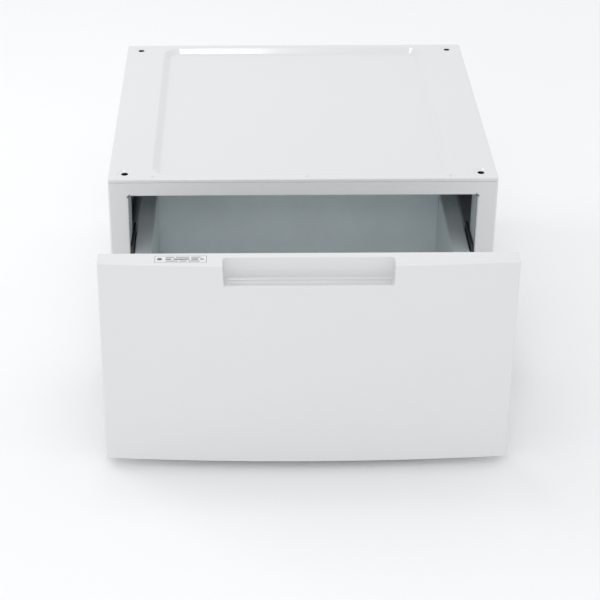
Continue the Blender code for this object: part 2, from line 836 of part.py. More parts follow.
def add_front_shell(parent, material, screw_places):
    rear = -CLOSED_GAP
    levels = []
    for step in range(4):
        angle = math.pi / 2 * step / 3
        levels.append((FRONT_EDGE * (1 - math.sin(angle)), FRONT_EDGE * (1 - math.cos(angle))))
    loops = [
        [(x, y, FRONT_BOTTOM + rise) for x, y in front_outline(inset, rear)] for inset, rise in levels
    ]
    loops += [
        [(x, y, FRONT_TOP - rise) for x, y in front_outline(inset, rear)]
        for inset, rise in reversed(levels)
    ]
    shell = stacked("drawer_front_shell", loops, False, material=material, parent=parent)
    cavity = prism(
        "front_cavity",
        front_outline(FRONT_WALL, rear + 0.005),
        "Z",
        FRONT_BOTTOM + FRONT_WALL,
        FRONT_TOP - FRONT_WALL,
        parent=parent,
    )
    ahead = rear - FRONT_DEPTH - FRONT_BOW - 0.010
    scoop_walls = prism(
        "scoop_walls",
        scoop_outline(SCOOP_HALF + FRONT_WALL, rear - SCOOP_REAR + FRONT_WALL, lambda x: ahead),
        "Z",
        FRONT_TOP - SCOOP_DEPTH - FRONT_WALL,
        FRONT_TOP + 0.010,
        parent=parent,
    )
    bosses = hole_cutter(
        "screw_bosses", BOSS_RADIUS, screw_places, "Y", ahead, rear - LINER - GAP, parent
    )
    add_boolean(cavity, scoop_walls, "DIFFERENCE")
    add_boolean(cavity, bosses, "DIFFERENCE")
    boss_holes = hole_cutter(
        "boss_holes", 0.0024, screw_places, "Y", rear - 0.018, rear, parent, 12
    )
    add_boolean(shell, cavity, "DIFFERENCE")
    add_boolean(shell, add_scoop_cutter(parent), "DIFFERENCE")
    add_boolean(shell, boss_holes, "DIFFERENCE")


def add_front_liner(parent, material, holes):
    margin = FRONT_WALL + GAP
    outline = rounded_rectangle(
        -FRONT_WIDTH / 2 + margin,
        FRONT_WIDTH / 2 - margin,
        FRONT_BOTTOM + margin,
        FRONT_TOP - margin,
        0.001,
        1,
    )
    liner = prism(
        "drawer_front_liner",
        outline,
        "Y",
        -CLOSED_GAP - LINER,
        -CLOSED_GAP,
        material=material,
        parent=parent,
    )
    add_boolean(liner, holes, "DIFFERENCE")


def add_box_sides(parent, material):
    """The wall that a slide fits, with a floor flange, and a wide rim that covers the slide."""
    corners = [
        (BOX_HALF - BOX_FLANGE, BOX_FLOOR),
        (BOX_HALF, BOX_FLOOR),
        (BOX_HALF, BOX_TOP),
        (BOX_OUTER, BOX_TOP),
        (BOX_OUTER, BOX_SKIRT_BOTTOM),
    ]
    outline = folded_outline(corners, -SHEET, (BEND / 4, BEND, BEND))
    for name, side in SIDES.items():
        prism(
            f"drawer_{name}_side",
            mirrored(outline, side),
            "Y",
            -CLOSED_GAP + GAP,
            -CLOSED_GAP + BOX_LENGTH,
            material=material,
            parent=parent,
        )


def add_box_ends(parent, material, holes):
    """The inner front and the back: sheets between the sides, each with a flange along its top."""
    front = -CLOSED_GAP + GAP
    back = -CLOSED_GAP + BOX_LENGTH - SHEET
    half = BOX_HALF - GAP
    for name, wall, flange_end in (
        ("drawer_inner_front", front, front + 0.010),
        ("drawer_back", back, back + 0.012),
    ):
        corners = [(flange_end, BOX_TOP), (wall, BOX_TOP), (wall, BOX_FLOOR + 2 * GAP)]
        sheet = prism(
            name,
            folded_outline(corners, SHEET, (BEND,)),
            "X",
            -half,
            half,
            material=material,
            parent=parent,
        )
        if wall == front:
            add_boolean(sheet, holes, "DIFFERENCE")
    start = front + SHEET + GAP
    bounds = (-half, half, start, back - GAP)
    pressed_plate(
        "drawer_floor",
        bounds,
        BOX_FLOOR + GAP + SHEET,
        FLOOR_BORDER,
        FLOOR_PRESS,
        "Z",
        material=material,
        parent=parent,
    )


def add_bumpers(parent, material):
    profile = [(0.0050, 0.0), (0.0050, 0.0012), (0.0038, 0.0024)]
    for name, side in SIDES.items():
        for level, z in zip(("low", "high"), BUMPERS_Z):
            bumper = turned(
                f"drawer_bumper_{name}_{level}",
                profile,
                16,
                material=material,
                parent=parent,
                location=(side * BUMPER_X, -CLOSED_GAP + GAP, z),
            )
            bumper.rotation_euler = (-math.pi / 2, 0, 0)


def build_drawer(parent, materials):
    screw_places = [(side * SCREW_X, z) for side in SIDES.values() for z in SCREWS_Z]
    holes = hole_cutter(
        "front_screw_holes", 0.0024, screw_places, "Y", -CLOSED_GAP - 0.010, 0.010, parent, 12
    )
    add_front_shell(parent, materials["white_plastic"], screw_places)
    add_front_liner(parent, materials["enamel"], holes)
    add_box_sides(parent, materials["galvanised"])
    add_box_ends(parent, materials["galvanised"], holes)
    head_face = -CLOSED_GAP + SHEET + 2 * GAP
    for name, side in SIDES.items():
        for level, z in zip(("low", "high"), SCREWS_Z):
            add_screw(
                f"drawer_front_screw_{name}_{level}",
                0.016,
                materials["zinc"],
                parent,
                (side * SCREW_X, head_face, z),
                (-math.pi / 2, 0, 0),
            )
    add_bumpers(parent, materials["rubber"])


# ---------------------------------------------------------------------------------------- legs


def hexagon(width, z):
    """Twelve points round a hexagon across these flats: its corners and the middles of its sides."""
    points = []
    for index in range(12):
        angle = math.pi * index / 6
        radius = width / 2 if index % 2 else width / 2 / math.cos(math.pi / 6)
        points.append((radius * math.cos(angle), radius * math.sin(angle), z))
    return points


def circle(radius, z):
    angles = [math.pi * index / 6 for index in range(12)]
    return [(radius * math.cos(angle), radius * math.sin(angle), z) for angle in angles]


def build_leg(name, location, parent, materials):
    """A rubber pad, the threaded stem that turns in it, and the lock nut under the base rail."""
    socket = STEM_RADIUS + GAP
    pad_profile = [
        (PAD_RADIUS - 0.0015, 0.0),
        (PAD_RADIUS, 0.0015),
        (PAD_RADIUS, 0.0045),
        (0.0150, 0.0068),
        (0.0095, PAD_HEIGHT),
        (socket, PAD_HEIGHT),
        (socket, SOCKET_FLOOR),
    ]
    turned(
        f"foot_pad_{name}", pad_profile, 16, material=materials["rubber"], parent=parent, location=location
    )
    collar = PAD_HEIGHT + GAP
    collar_top = collar + COLLAR_HEIGHT
    stem_loops = [
        circle(STEM_RADIUS, SOCKET_FLOOR + GAP),
        circle(STEM_RADIUS, collar),
        hexagon(HEX_WIDTH, collar),
        hexagon(HEX_WIDTH, collar_top),
        circle(STEM_RADIUS, collar_top),
        circle(STEM_RADIUS, STEM_TOP - STEM_CHAMFER),
        circle(STEM_RADIUS - STEM_CHAMFER, STEM_TOP),
    ]
    stacked(
        f"leg_stem_{name}", stem_loops, False, material=materials["zinc"], parent=parent, location=location
    )
    nut_low = collar_top + NUT_CLEARANCE
    nut_high = BODY_BOTTOM - GAP
    bore = STEM_RADIUS + STEM_PLAY
    nut_loops = [
        hexagon(HEX_WIDTH, nut_low),
        hexagon(HEX_WIDTH, nut_high),
        circle(bore, nut_high),
        circle(bore, nut_low),
    ]
    nut_name = f"leg_lock_nut_{name}"
    zinc = materials["zinc"]
    stacked(nut_name, nut_loops, True, material=zinc, parent=parent, location=location)


def build_legs(parent, materials):
    for end, y in LEGS_Y.items():
        for name, side in SIDES.items():
            build_leg(f"{end}_{name}", (side * LEG_X, y, 0), parent, materials)


# ---------------------------------------------------------------------------------------- main


def main():
    clear_scene()
    materials = {
        "enamel": make_material("white_enamel", (0.86, 0.87, 0.87), 0.32),
        "white_plastic": make_material("white_gloss_plastic", (0.87, 0.87, 0.87), 0.25),
        "galvanised": make_material("galvanised_steel", (0.52, 0.55, 0.55), 0.42, 1.0),
        "zinc": make_material("zinc_plated_steel", (0.70, 0.70, 0.68), 0.30, 1.0),
        "black_plastic": make_material("black_plastic", (0.02, 0.02, 0.02), 0.45),
        "rubber": make_material("grey_rubber", (0.10, 0.10, 0.11), 0.80),
    }
    # The origin is the middle of the floor under the whole object as it stands, drawer out.
    drawer_face = -DRAWER_OUT - CLOSED_GAP - FRONT_DEPTH - FRONT_BOW
    middle = (CABINET_DEPTH + drawer_face) / 2
    cabinet = make_empty("cabinet_frame", (0, -middle, 0))
    shares = {"drawer": 1.0, "slide_middle": 0.5, "cage_outer": 0.25, "cage_inner": 0.75}
    bodies = {"cabinet": cabinet}
    for name, share in shares.items():
        bodies[name] = make_empty(f"{name}_frame", (0, -share * DRAWER_OUT, 0), cabinet)
    build_cabinet(cabinet, materials)
    build_slides(bodies, materials)
    build_drawer(bodies["drawer"], materials)
    build_legs(cabinet, materials)


main()
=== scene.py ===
"""The looks of the laundry pedestal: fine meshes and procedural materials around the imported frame.

Everything is in metres in the row's frame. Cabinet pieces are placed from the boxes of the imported
nodes, and drawer pieces from the box of the drawer front where it stands open.
"""

import math

import bmesh
import bpy
from mathutils import Matrix, Vector


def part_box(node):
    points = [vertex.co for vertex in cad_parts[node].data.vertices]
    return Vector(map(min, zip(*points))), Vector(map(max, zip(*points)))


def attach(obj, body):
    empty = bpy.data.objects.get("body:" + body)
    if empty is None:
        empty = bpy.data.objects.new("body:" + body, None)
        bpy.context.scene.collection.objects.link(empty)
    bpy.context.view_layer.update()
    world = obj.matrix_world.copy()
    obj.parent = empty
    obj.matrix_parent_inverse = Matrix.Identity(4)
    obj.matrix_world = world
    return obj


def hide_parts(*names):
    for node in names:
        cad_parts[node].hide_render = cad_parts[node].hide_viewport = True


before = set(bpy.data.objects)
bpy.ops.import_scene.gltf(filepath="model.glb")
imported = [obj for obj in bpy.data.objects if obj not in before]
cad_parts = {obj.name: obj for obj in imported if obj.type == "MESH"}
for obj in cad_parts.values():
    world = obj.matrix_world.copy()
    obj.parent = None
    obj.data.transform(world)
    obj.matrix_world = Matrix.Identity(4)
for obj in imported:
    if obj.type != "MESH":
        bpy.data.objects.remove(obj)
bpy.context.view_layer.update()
SCENE = bpy.context.scene
SIDES = {"left": -1, "right": 1}
ENDS = ("front", "rear")

# Faces that the pieces are placed from
DECK_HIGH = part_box("top_deck")[1]
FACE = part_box("front_frame")[0].y
REAR = DECK_HIGH.y
TOP = DECK_HIGH.z
HALF = DECK_HIGH.x
SHELL_LOW, SHELL_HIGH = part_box("drawer_front_shell")
DRAWER_REAR = SHELL_HIGH.y
SHEET = 0.001


# ------------------------------------------------------------------------------------ materials


class Nodes:
    """A material's node tree, with short calls for the nodes used here."""

    def __init__(self, name):
        self.material = bpy.data.materials.new(name)
        self.material.use_nodes = True
        self.tree = self.material.node_tree
        self.shader = self.tree.nodes["Principled BSDF"]

    def add(self, kind, inputs=None, **settings):
        node = self.tree.nodes.new(kind)
        for key, value in settings.items():
            setattr(node, key, value)
        for key, value in (inputs or {}).items():
            if isinstance(value, bpy.types.NodeSocket):
                self.tree.links.new(value, node.inputs[key])
            else:
                node.inputs[key].default_value = value
        return node

    def place(self, scale=(1, 1, 1)):
        point = self.add("ShaderNodeTexCoord").outputs["Object"]
        return self.add("ShaderNodeMapping", {"Vector": point, "Scale": scale}).outputs["Vector"]

    def noise(self, scale, detail=2.0, stretch=(1, 1, 1)):
        inputs = {"Vector": self.place(stretch), "Scale": scale, "Detail": detail}
        return self.add("ShaderNodeTexNoise", inputs).outputs["Fac"]

    def spread(self, value, low, high, low_in=0.3, high_in=0.7):
        inputs = {
            "Value": value,
            "From Min": low_in,
            "From Max": high_in,
            "To Min": low,
            "To Max": high,
        }
        return self.add("ShaderNodeMapRange", inputs).outputs["Result"]

    def mix(self, factor, first, second):
        node = self.add("ShaderNodeMix", {"Factor": factor}, data_type="RGBA")
        for socket, value in ((node.inputs[6], first), (node.inputs[7], second)):
            if isinstance(value, bpy.types.NodeSocket):
                self.tree.links.new(value, socket)
            else:
                socket.default_value = (*value, 1.0)
        return node.outputs[2]

    def bump(self, height, distance, strength=1.0):
        inputs = {"Height": height, "Distance": distance, "Strength": strength}
        self.set(Normal=self.add("ShaderNodeBump", inputs).outputs["Normal"])

    def set(self, **sockets):
        for key, value in sockets.items():
            socket = self.shader.inputs[key.replace("_", " ")]
            if isinstance(value, bpy.types.NodeSocket):
                self.tree.links.new(value, socket)
            elif isinstance(value, tuple):
                socket.default_value = (*value, 1.0)
            else:
                socket.default_value = value


def enamel_material():
    """White baked enamel: a faint orange peel and a very slight drift in tone."""
    made = Nodes("white_enamel")
    tone = made.spread(made.noise(3.0), 0.0, 1.0)
    made.set(
        Base_Color=made.mix(tone, (0.722, 0.724, 0.723), (0.716, 0.718, 0.718)),
        Roughness=made.spread(made.noise(40.0), 0.21, 0.23),
        Coat_Weight=0.40,
        Coat_Roughness=0.08,
    )
    made.bump(made.noise(260.0, 1.0), 0.00001, 0.3)
    return made.material


def white_plastic_material():
    """White moulded plastic with a fine satin grain."""
    made = Nodes("white_plastic")
    tone = made.spread(made.noise(4.0), 0.0, 1.0)
    made.set(
        Base_Color=made.mix(tone, (0.742, 0.740, 0.738), (0.737, 0.735, 0.733)),
        Roughness=made.spread(made.noise(60.0), 0.275, 0.285),
        Coat_Weight=0.30,
        Coat_Roughness=0.10,
    )
    made.bump(made.noise(900.0, 1.0), 0.000002, 0.2)
    return made.material


def galvanised_material(name, color, roughness, stretch):
    """Bare zinc-coated sheet: soft spangle, faint rolling streaks and a cloudy sheen."""
    made = Nodes(name)
    cells = made.add(
        "ShaderNodeTexVoronoi", {"Vector": made.place(), "Scale": 70.0}, feature="F1"
    ).outputs["Color"]
    spangle = made.add("ShaderNodeRGBToBW", {"Color": cells}).outputs["Val"]
    streak = made.noise(30.0, 3.0, stretch)
    darker = tuple(channel * 0.95 for channel in color)
    lighter = tuple(channel * 1.03 for channel in color)
    cloudy = made.mix(made.spread(made.noise(9.0), 0.0, 1.0), darker, lighter)
    grained = made.mix(made.spread(spangle, 0.0, 0.30, 0.2, 0.8), cloudy, darker)
    made.set(
        Base_Color=made.mix(made.spread(streak, 0.0, 0.25), grained, lighter),
        Metallic=0.30,
        Roughness=made.spread(spangle, roughness - 0.03, roughness + 0.04, 0.2, 0.8),
    )
    made.bump(streak, 0.00002)
    return made.material


def zinc_material():
    """Bright zinc plating on small steel parts, with a light patchy passivation."""
    made = Nodes("zinc_plating")
    patch = made.spread(made.noise(55.0, 3.0), 0.0, 1.0)
    made.set(
        Base_Color=made.mix(patch, (0.62, 0.63, 0.64), (0.70, 0.70, 0.66)),
        Metallic=1.0,
        Roughness=made.spread(made.noise(300.0), 0.24, 0.36),
    )
    made.bump(made.noise(500.0, 1.0, (1, 0.1, 1)), 0.00001)
    return made.material


def dark_material(name, color, roughness, grain):
    """Moulded black plastic or rubber with a fine matte grain."""
    made = Nodes(name)
    tone = made.spread(made.noise(25.0), 0.0, 1.0)
    made.set(
        Base_Color=made.mix(tone, color, tuple(channel * 1.35 for channel in color)),
        Roughness=made.spread(made.noise(120.0), roughness - 0.06, roughness + 0.06),
    )
    made.bump(made.noise(grain, 2.0), 0.00004)
    return made.material


MATERIALS = {
    "white_enamel": enamel_material(),
    "white_gloss_plastic": white_plastic_material(),
    "galvanised_steel": galvanised_material("galvanised", (0.74, 0.79, 0.80), 0.42, (1, 0.04, 1)),
    "zinc_plated_steel": zinc_material(),
    "black_plastic": dark_material("black_plastic", (0.014, 0.014, 0.015), 0.45, 700.0),
    "grey_rubber": dark_material("grey_rubber", (0.07, 0.07, 0.075), 0.78, 900.0),
}


# ---------------------------------------------------------------------------------- mesh helpers


def rounded_path(corners, radii, steps=8):
    """A polyline through the corners, each inner corner replaced by an arc of its radius."""
    points = [Vector(corners[0])]
    for before, here, after, radius in zip(corners, corners[1:], corners[2:], radii):
        corner = Vector(here)
        back = (Vector(before) - corner).normalized()
        ahead = (Vector(after) - corner).normalized()
        half_angle = back.angle(ahead) / 2
        reach = radius / math.tan(half_angle)
        center = corner + (back + ahead).normalized() * radius / math.sin(half_angle)
        start = corner + back * reach - center
        end = corner + ahead * reach - center
        turn = math.atan2(start.x * end.y - start.y * end.x, start.dot(end))
        first = math.atan2(start.y, start.x)
        for step in range(steps + 1):
            angle = first + turn * step / steps
            points.append(center + radius * Vector((math.cos(angle), math.sin(angle))))
    points.append(Vector(corners[-1]))
    return points


def offset_path(path, distance):
    """The path moved to its left by this distance, square to each stretch."""
    moved = []
    for index, point in enumerate(path):
        before = path[max(index - 1, 0)]
        after = path[min(index + 1, len(path) - 1)]
        first = (point - before).normalized() if index else (after - point).normalized()
        second = (after - point).normalized() if index < len(path) - 1 else first
        along = (first + second).normalized()
        scale = 1 / max(along.dot(first), 0.5)
        moved.append(point + Vector((-along.y, along.x)) * distance * scale)
    return moved


def to_space(u, v, w, axis):
    """Section coordinates u, v and the run w along this axis, as a point."""
    if axis == "X":
        return Vector((w, u, v))
    if axis == "Y":
        return Vector((u, w, v))
    return Vector((u, v, w))


def rounded_rectangle(u_low, u_high, v_low, v_high, radius, steps=8):
    corners = (
        (u_high - radius, v_low + radius, -90),
        (u_high - radius, v_high - radius, 0),
        (u_low + radius, v_high - radius, 90),
        (u_low + radius, v_low + radius, 180),
    )
    points = []
    for u, v, start in corners:
        for step in range(steps + 1):
            angle = math.radians(start + 90 * step / steps)
            points.append((u + radius * math.cos(angle), v + radius * math.sin(angle)))
    return points


def between(low, high, share):
    return low + (high - low) * min(max(share, 0.0), 1.0)


def bridge(mesh, first, second, closed=True):
    """Quads between two rows of vertices of the same length."""
    count = len(first)
    for index in range(count if closed else count - 1):
        ahead = (index + 1) % count
        mesh.faces.new((first[index], first[ahead], second[ahead], second[index]))


def loft(mesh, loops, closed_ring=False, caps=True):
    rows = [[mesh.verts.new(point) for point in loop] for loop in loops]
    for first, second in zip(rows, rows[1:]):
        bridge(mesh, first, second)
    if closed_ring:
        bridge(mesh, rows[-1], rows[0])
    elif caps:
        mesh.faces.new(list(reversed(rows[0])))
        mesh.faces.new(rows[-1])
    return rows


def sheet_run(mesh, path, thickness, axis, start, end, flip=1):
    """A folded sheet: the path is one skin, and the other lies to its left."""
    inner = offset_path(path, thickness)
    rows = []
    for w in (start, end):
        for skin in (path, inner):
            rows.append([mesh.verts.new(to_space(flip * p.x, p.y, w, axis)) for p in skin])
    near, near_inner, far, far_inner = rows
    bridge(mesh, near, far, False)
    bridge(mesh, far_inner, near_inner, False)
    bridge(mesh, near_inner, near, False)
    bridge(mesh, far, far_inner, False)
    for index in (0, -1):
        mesh.faces.new((near[index], near_inner[index], far_inner[index], far[index]))


def turned_loops(profile, sides, center, axis="Z"):
    """Rings round an axis through center, from (radius, height) pairs."""
    loops = []
    for radius, height in profile:
        loop = []
        for index in range(sides):
            angle = 2 * math.pi * index / sides
            u, v = radius * math.cos(angle), radius * math.sin(angle)
            loop.append(Vector(center) + to_space(u, v, height, axis))
        loops.append(loop)
    return loops


def make_piece(
    name, mesh, slot, body, nodes=(), bevel=0.0, segments=2, sharp=35, material=None, keep=False
):
    """An object from a bmesh, smooth with crisp or softened edges, riding on its body.

    With keep, its edges are finished later. An open skin is already turned the right way."""
    if all(edge.is_manifold for edge in mesh.edges):
        bmesh.ops.recalc_face_normals(mesh, faces=mesh.faces)
    data = bpy.data.meshes.new(name)
    mesh.to_mesh(data)
    mesh.free()
    piece = bpy.data.objects.new(name, data)
    SCENE.collection.objects.link(piece)
    data.materials.append(material or MATERIALS[slot])
    data.polygons.foreach_set("use_smooth", [True] * len(data.polygons))
    if not keep:
        finish_edges(piece, bevel, segments, sharp)
    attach(piece, body)
    if nodes:
        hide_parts(*nodes)
    return piece


def finish_edges(piece, bevel, segments, sharp):
    if bevel:
        soft = piece.modifiers.new("soft_edges", "BEVEL")
        soft.width = bevel
        soft.segments = segments
        soft.limit_method = "ANGLE"
        soft.angle_limit = math.radians(sharp)
        soft.miter_outer = "MITER_ARC"
    else:
        piece.data.set_sharp_from_angle(angle=math.radians(sharp))
    normals = piece.modifiers.new("even_shading", "WEIGHTED_NORMAL")
    normals.keep_sharp = True


def folded_piece(
    name, path, thickness, axis, span, side, body, node, slot="galvanised_steel", bevel=0.0002
):
    """A folded sheet that shows one node, with finely broken edges."""
    mesh = bmesh.new()
    sheet_run(mesh, path, thickness, axis, *span, side)
    make_piece(name, mesh, slot, body, [node], bevel=bevel, sharp=50)


def carve(piece, cutter, operation="DIFFERENCE"):
    """Cuts the piece with a bmesh, before its other modifiers."""
    data = bpy.data.meshes.new("cutter")
    bmesh.ops.recalc_face_normals(cutter, faces=cutter.faces)
    cutter.to_mesh(data)
    cutter.free()
    tool = bpy.data.objects.new("cutter", data)
    SCENE.collection.objects.link(tool)
    others = [(m, m.show_viewport) for m in piece.modifiers]
    for modifier, _ in others:
        modifier.show_viewport = False
    boolean = piece.modifiers.new("carve", "BOOLEAN")
    boolean.object = tool
    boolean.operation = operation
    boolean.solver = "EXACT"
    bpy.context.view_layer.update()
    graph = bpy.context.evaluated_depsgraph_get()
    cut = bpy.data.meshes.new_from_object(piece.evaluated_get(graph))
    piece.modifiers.remove(boolean)
    piece.data = cut
    for modifier, shown in others:
        modifier.show_viewport = shown
    bpy.data.objects.remove(tool)


def bake(piece):
    """Applies every modifier, so that the next cut sees the finished surface."""
    bpy.context.view_layer.update()
    graph = bpy.context.evaluated_depsgraph_get()
    piece.data = bpy.data.meshes.new_from_object(piece.evaluated_get(graph))
    piece.modifiers.clear()


def box_mesh(low, high, turn=None):
    """A box between two corners, turned by a matrix."""
    mesh = bmesh.new()
    made = bmesh.ops.create_cube(mesh, size=1.0)["verts"]
    size = Vector(high) - Vector(low)
    middle = (Vector(high) + Vector(low)) / 2
    bmesh.ops.transform(mesh, verts=made, matrix=Matrix.Diagonal((*size, 1)))
    bmesh.ops.translate(mesh, verts=made, vec=middle)
    if turn:
        bmesh.ops.transform(mesh, verts=made, matrix=turn)
    return mesh


def fill_flat(mesh, rows):
    """Fills the flat area between closed rows of vertices: the first outside, the others holes."""
    edges = []
    for row in rows:
        for index, vertex in enumerate(row):
            edges.append(mesh.edges.get((vertex, row[(index + 1) % len(row)])))
    bmesh.ops.triangle_fill(mesh, use_beauty=True, use_dissolve=False, edges=edges)


def face_towards(mesh, direction):
    """Turns an open skin so that its largest face looks this way."""
    bmesh.ops.recalc_face_normals(mesh, faces=mesh.faces)
    largest = max(mesh.faces, key=lambda face: face.calc_area())
    largest.normal_update()
    if largest.normal.dot(Vector(direction)) < 0:
        bmesh.ops.reverse_faces(mesh, faces=mesh.faces)


def thicken(piece, thickness):
    """Gives an open skin its sheet thickness, behind its outer face."""
    solid = piece.modifiers.new("sheet", "SOLIDIFY")
    solid.thickness = thickness
    solid.offset = -1
    solid.use_even_offset = True
    bake(piece)


# ------------------------------------------------------------------------------- cabinet pieces

DECK_BEND = 0.002
DECK_SKIRT = 0.006
PAN_SIDE, PAN_FRONT, PAN_REAR = 0.076, 0.020, 0.016
PAN_CORNER, PAN_RAMP, PAN_DEPTH, PAN_FILLET = 0.034, 0.013, 0.009, 0.006
HOLE_X = 0.3145
HOLES_Y = (FACE + 0.026, FACE + 0.621)
HOLE_RADIUS = 0.0062
DIMPLE_RADIUS = 0.0140


def build_deck():
    """The lid: rolled edges, a sunken pan, and a shallow round recess about each bolt hole."""
    mesh = bmesh.new()
    edge = rounded_path([(0, TOP - DECK_SKIRT), (0, TOP), (0.012, TOP)], (DECK_BEND,), 8)[:-1]
    loops = []
    for inset, z in edge:
        ring = rounded_rectangle(
            -HALF + inset, HALF - inset, FACE + inset, REAR - inset, max(0.0045 - inset, 0.0005), 6
        )
        loops.append([(x, y, z) for x, y in ring])
    rim = loft(mesh, loops, caps=False)[-1]
    corners = [(-0.010, TOP), (0, TOP), (PAN_RAMP, TOP - PAN_DEPTH), (0.035, TOP - PAN_DEPTH)]
    loops = []
    for inset, z in rounded_path(corners, (PAN_FILLET, PAN_FILLET), 8)[1:-1]:
        ring = rounded_rectangle(
            -HALF + PAN_SIDE + inset,
            HALF - PAN_SIDE - inset,
            FACE + PAN_FRONT + inset,
            REAR - PAN_REAR - inset,
            PAN_CORNER - inset,
            14,
        )
        loops.append([(x, y, z) for x, y in ring])
    pan = loft(mesh, loops, caps=False)
    mesh.faces.new(pan[-1])
    openings = [rim, pan[0]]
    recess = [
        (DIMPLE_RADIUS, 0.0),
        (DIMPLE_RADIUS - 0.0004, -0.0001),
        (DIMPLE_RADIUS - 0.0020, -0.0011),
        (DIMPLE_RADIUS - 0.0026, -0.0012),
        (HOLE_RADIUS + 0.0006, -0.0012),
        (HOLE_RADIUS + 0.0001, -0.0014),
        (HOLE_RADIUS, -0.0019),
    ]
    for side in SIDES.values():
        for y in HOLES_Y:
            rows = loft(mesh, turned_loops(recess, 40, (side * HOLE_X, y, TOP)), caps=False)
            openings.append(rows[0])
    # Three small clinch marks along the front rim hold the deck to the front frame.
    clinch = [(0.0058, 0.0), (0.0054, -0.0002), (0.0042, -0.0016), (0.0016, -0.0018)]
    for x in (-0.262, 0.010, 0.262):
        rows = loft(mesh, turned_loops(clinch, 20, (x, FACE + 0.0112, TOP)), caps=False)
        mesh.faces.new(rows[-1])
        openings.append(rows[0])
    fill_flat(mesh, openings)
    face_towards(mesh, (0, 0, 1))
    deck = make_piece("deck_sheet", mesh, "white_enamel", "cabinet", ["top_deck"], keep=True)
    thicken(deck, SHEET)
    finish_edges(deck, 0, 0, 50)


BODY_BOTTOM = 0.022
FRAME_TOP = TOP - DECK_SKIRT - 0.0003
FRAME_DEPTH, OPENING_FLANGE = 0.014, 0.016
OPENING_HALF, OPENING_BOTTOM, OPENING_TOP = 0.308, 0.062, TOP - 0.0323
SIDE_BEND, OPENING_BEND = 0.004, 0.0024
RELIEF_WIDTH, RELIEF_LENGTH = 0.0022, 0.0046


def frame_drop(inset, total):
    """How far the frame's ring has moved in from its top or bottom edge at this side inset."""
    width = HALF - OPENING_HALF
    start, end = SIDE_BEND, width - OPENING_BEND
    if inset <= start:
        return inset / 4
    if inset >= end:
        return total - (width - inset)
    return between(start / 4, total - OPENING_BEND, (inset - start) / (end - start))


def build_front_frame():
    """The ring round the drawer's opening, with rolled edges and a relief cut in each top corner."""
    mesh = bmesh.new()
    width = HALF - OPENING_HALF
    corners = [(0, FRAME_DEPTH), (0, 0), (width, 0), (width, OPENING_FLANGE)]
    path = rounded_path(corners, (SIDE_BEND, OPENING_BEND), 8)
    section = path + list(reversed(offset_path(path, SHEET)))
    loops = []
    for inset, y in section:
        low = BODY_BOTTOM + frame_drop(inset, OPENING_BOTTOM - BODY_BOTTOM)
        high = FRAME_TOP - frame_drop(inset, FRAME_TOP - OPENING_TOP)
        radius = between(0.0015, 0.0025, inset / width)
        ring = rounded_rectangle(-HALF + inset, HALF - inset, low, high, radius, 5)
        loops.append([(x, FACE + y, z) for x, z in ring])
    loft(mesh, loops, closed_ring=True)
    piece = make_piece("frame_sheet", mesh, "white_enamel", "cabinet", ["front_frame"], keep=True)
    for side in SIDES.values():
        turn = Matrix.Rotation(-side * math.radians(45), 4, "Y")
        half = RELIEF_WIDTH / 2
        slot = box_mesh((-half, -0.002, -0.004), (half, 0.009, RELIEF_LENGTH), turn)
        corner = Vector((side * (OPENING_HALF - 0.0002), FACE, OPENING_TOP - 0.0002))
        bmesh.ops.translate(slot, verts=slot.verts, vec=corner)
        carve(piece, slot)
    finish_edges(piece, 0, 0, 40)


def build_side_panels():
    for name, side in SIDES.items():
        node = f"{name}_side_panel"
        low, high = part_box(node)
        outer = max(abs(low.x), abs(high.x))
        corners = [(outer, low.y), (outer, high.y), (outer - 0.025, high.y)]
        path = rounded_path(corners, (0.003,), 8)
        span = (low.z, high.z)
        folded_piece(
            f"side_sheet_{name}", path, SHEET, "Z", span, side, "cabinet", node, "white_enamel", 0.0003
        )


def pressed_loops(bounds, face, border, depth, axis, toward, radius=0.024):
    """Rings of a sheet with a pressed field: flat border, soft ramp, flat field."""
    u_low, u_high, v_low, v_high = bounds
    corners = [(0, 0), (border, 0), (border + 0.006, -depth), (border + 0.020, -depth)]
    loops = []
    for inset, drop in rounded_path(corners, (0.004, 0.004), 5)[:-1]:
        curve = 0.003 + between(0.0, radius, inset / border)
        ring = rounded_rectangle(
            u_low + inset, u_high - inset, v_low + inset, v_high - inset, curve, 8
        )
        loops.append([to_space(u, v, face + toward * drop, axis) for u, v in ring])
    return loops


def build_rear_panel():
    low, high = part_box("rear_panel")
    mesh = bmesh.new()
    loops = pressed_loops((low.x, high.x, low.z, high.z), high.y, 0.058, 0.004, "Y", 1)
    rows = loft(mesh, loops, caps=False)
    mesh.faces.new(rows[-1])
    face_towards(mesh, (0, 1, 0))
    duller = galvanised_material("galvanised_outside", (0.45, 0.49, 0.50), 0.40, (1, 1, 0.04))
    panel = make_piece(
        "rear_sheet",
        mesh,
        "galvanised_steel",
        "cabinet",
        ["rear_panel"],
        material=duller,
        keep=True,
    )
    thicken(panel, SHEET)
    finish_edges(panel, 0, 0, 50)


# -------------------------------------------------------------------------------- drawer pieces

FRONT_HALF = SHELL_HIGH.x
FRONT_TOP, FRONT_BOTTOM = SHELL_HIGH.z, SHELL_LOW.z
FRONT_DEPTH, FRONT_BOW = 0.0356, 0.0136
FRONT_CORNER, FRONT_EDGE = 0.0035, 0.0020
SCOOP_HALF, SCOOP_REAR, SCOOP_LIP, SCOOP_DEPTH = 0.139, 0.015, 0.036, 0.046
SCOOP_CORNER, SCOOP_DRAFT, SCOOP_FLOOR_FILLET, LIP_WALL = 0.006, 0.002, 0.008, 0.005


def front_y(x):
    """The drawer front's face at this x, on a shallow arc."""
    radius = (FRONT_HALF**2 + FRONT_BOW**2) / (2 * FRONT_BOW)
    bow = FRONT_BOW - radius + math.sqrt(radius**2 - x**2)
    return DRAWER_REAR - FRONT_DEPTH - bow


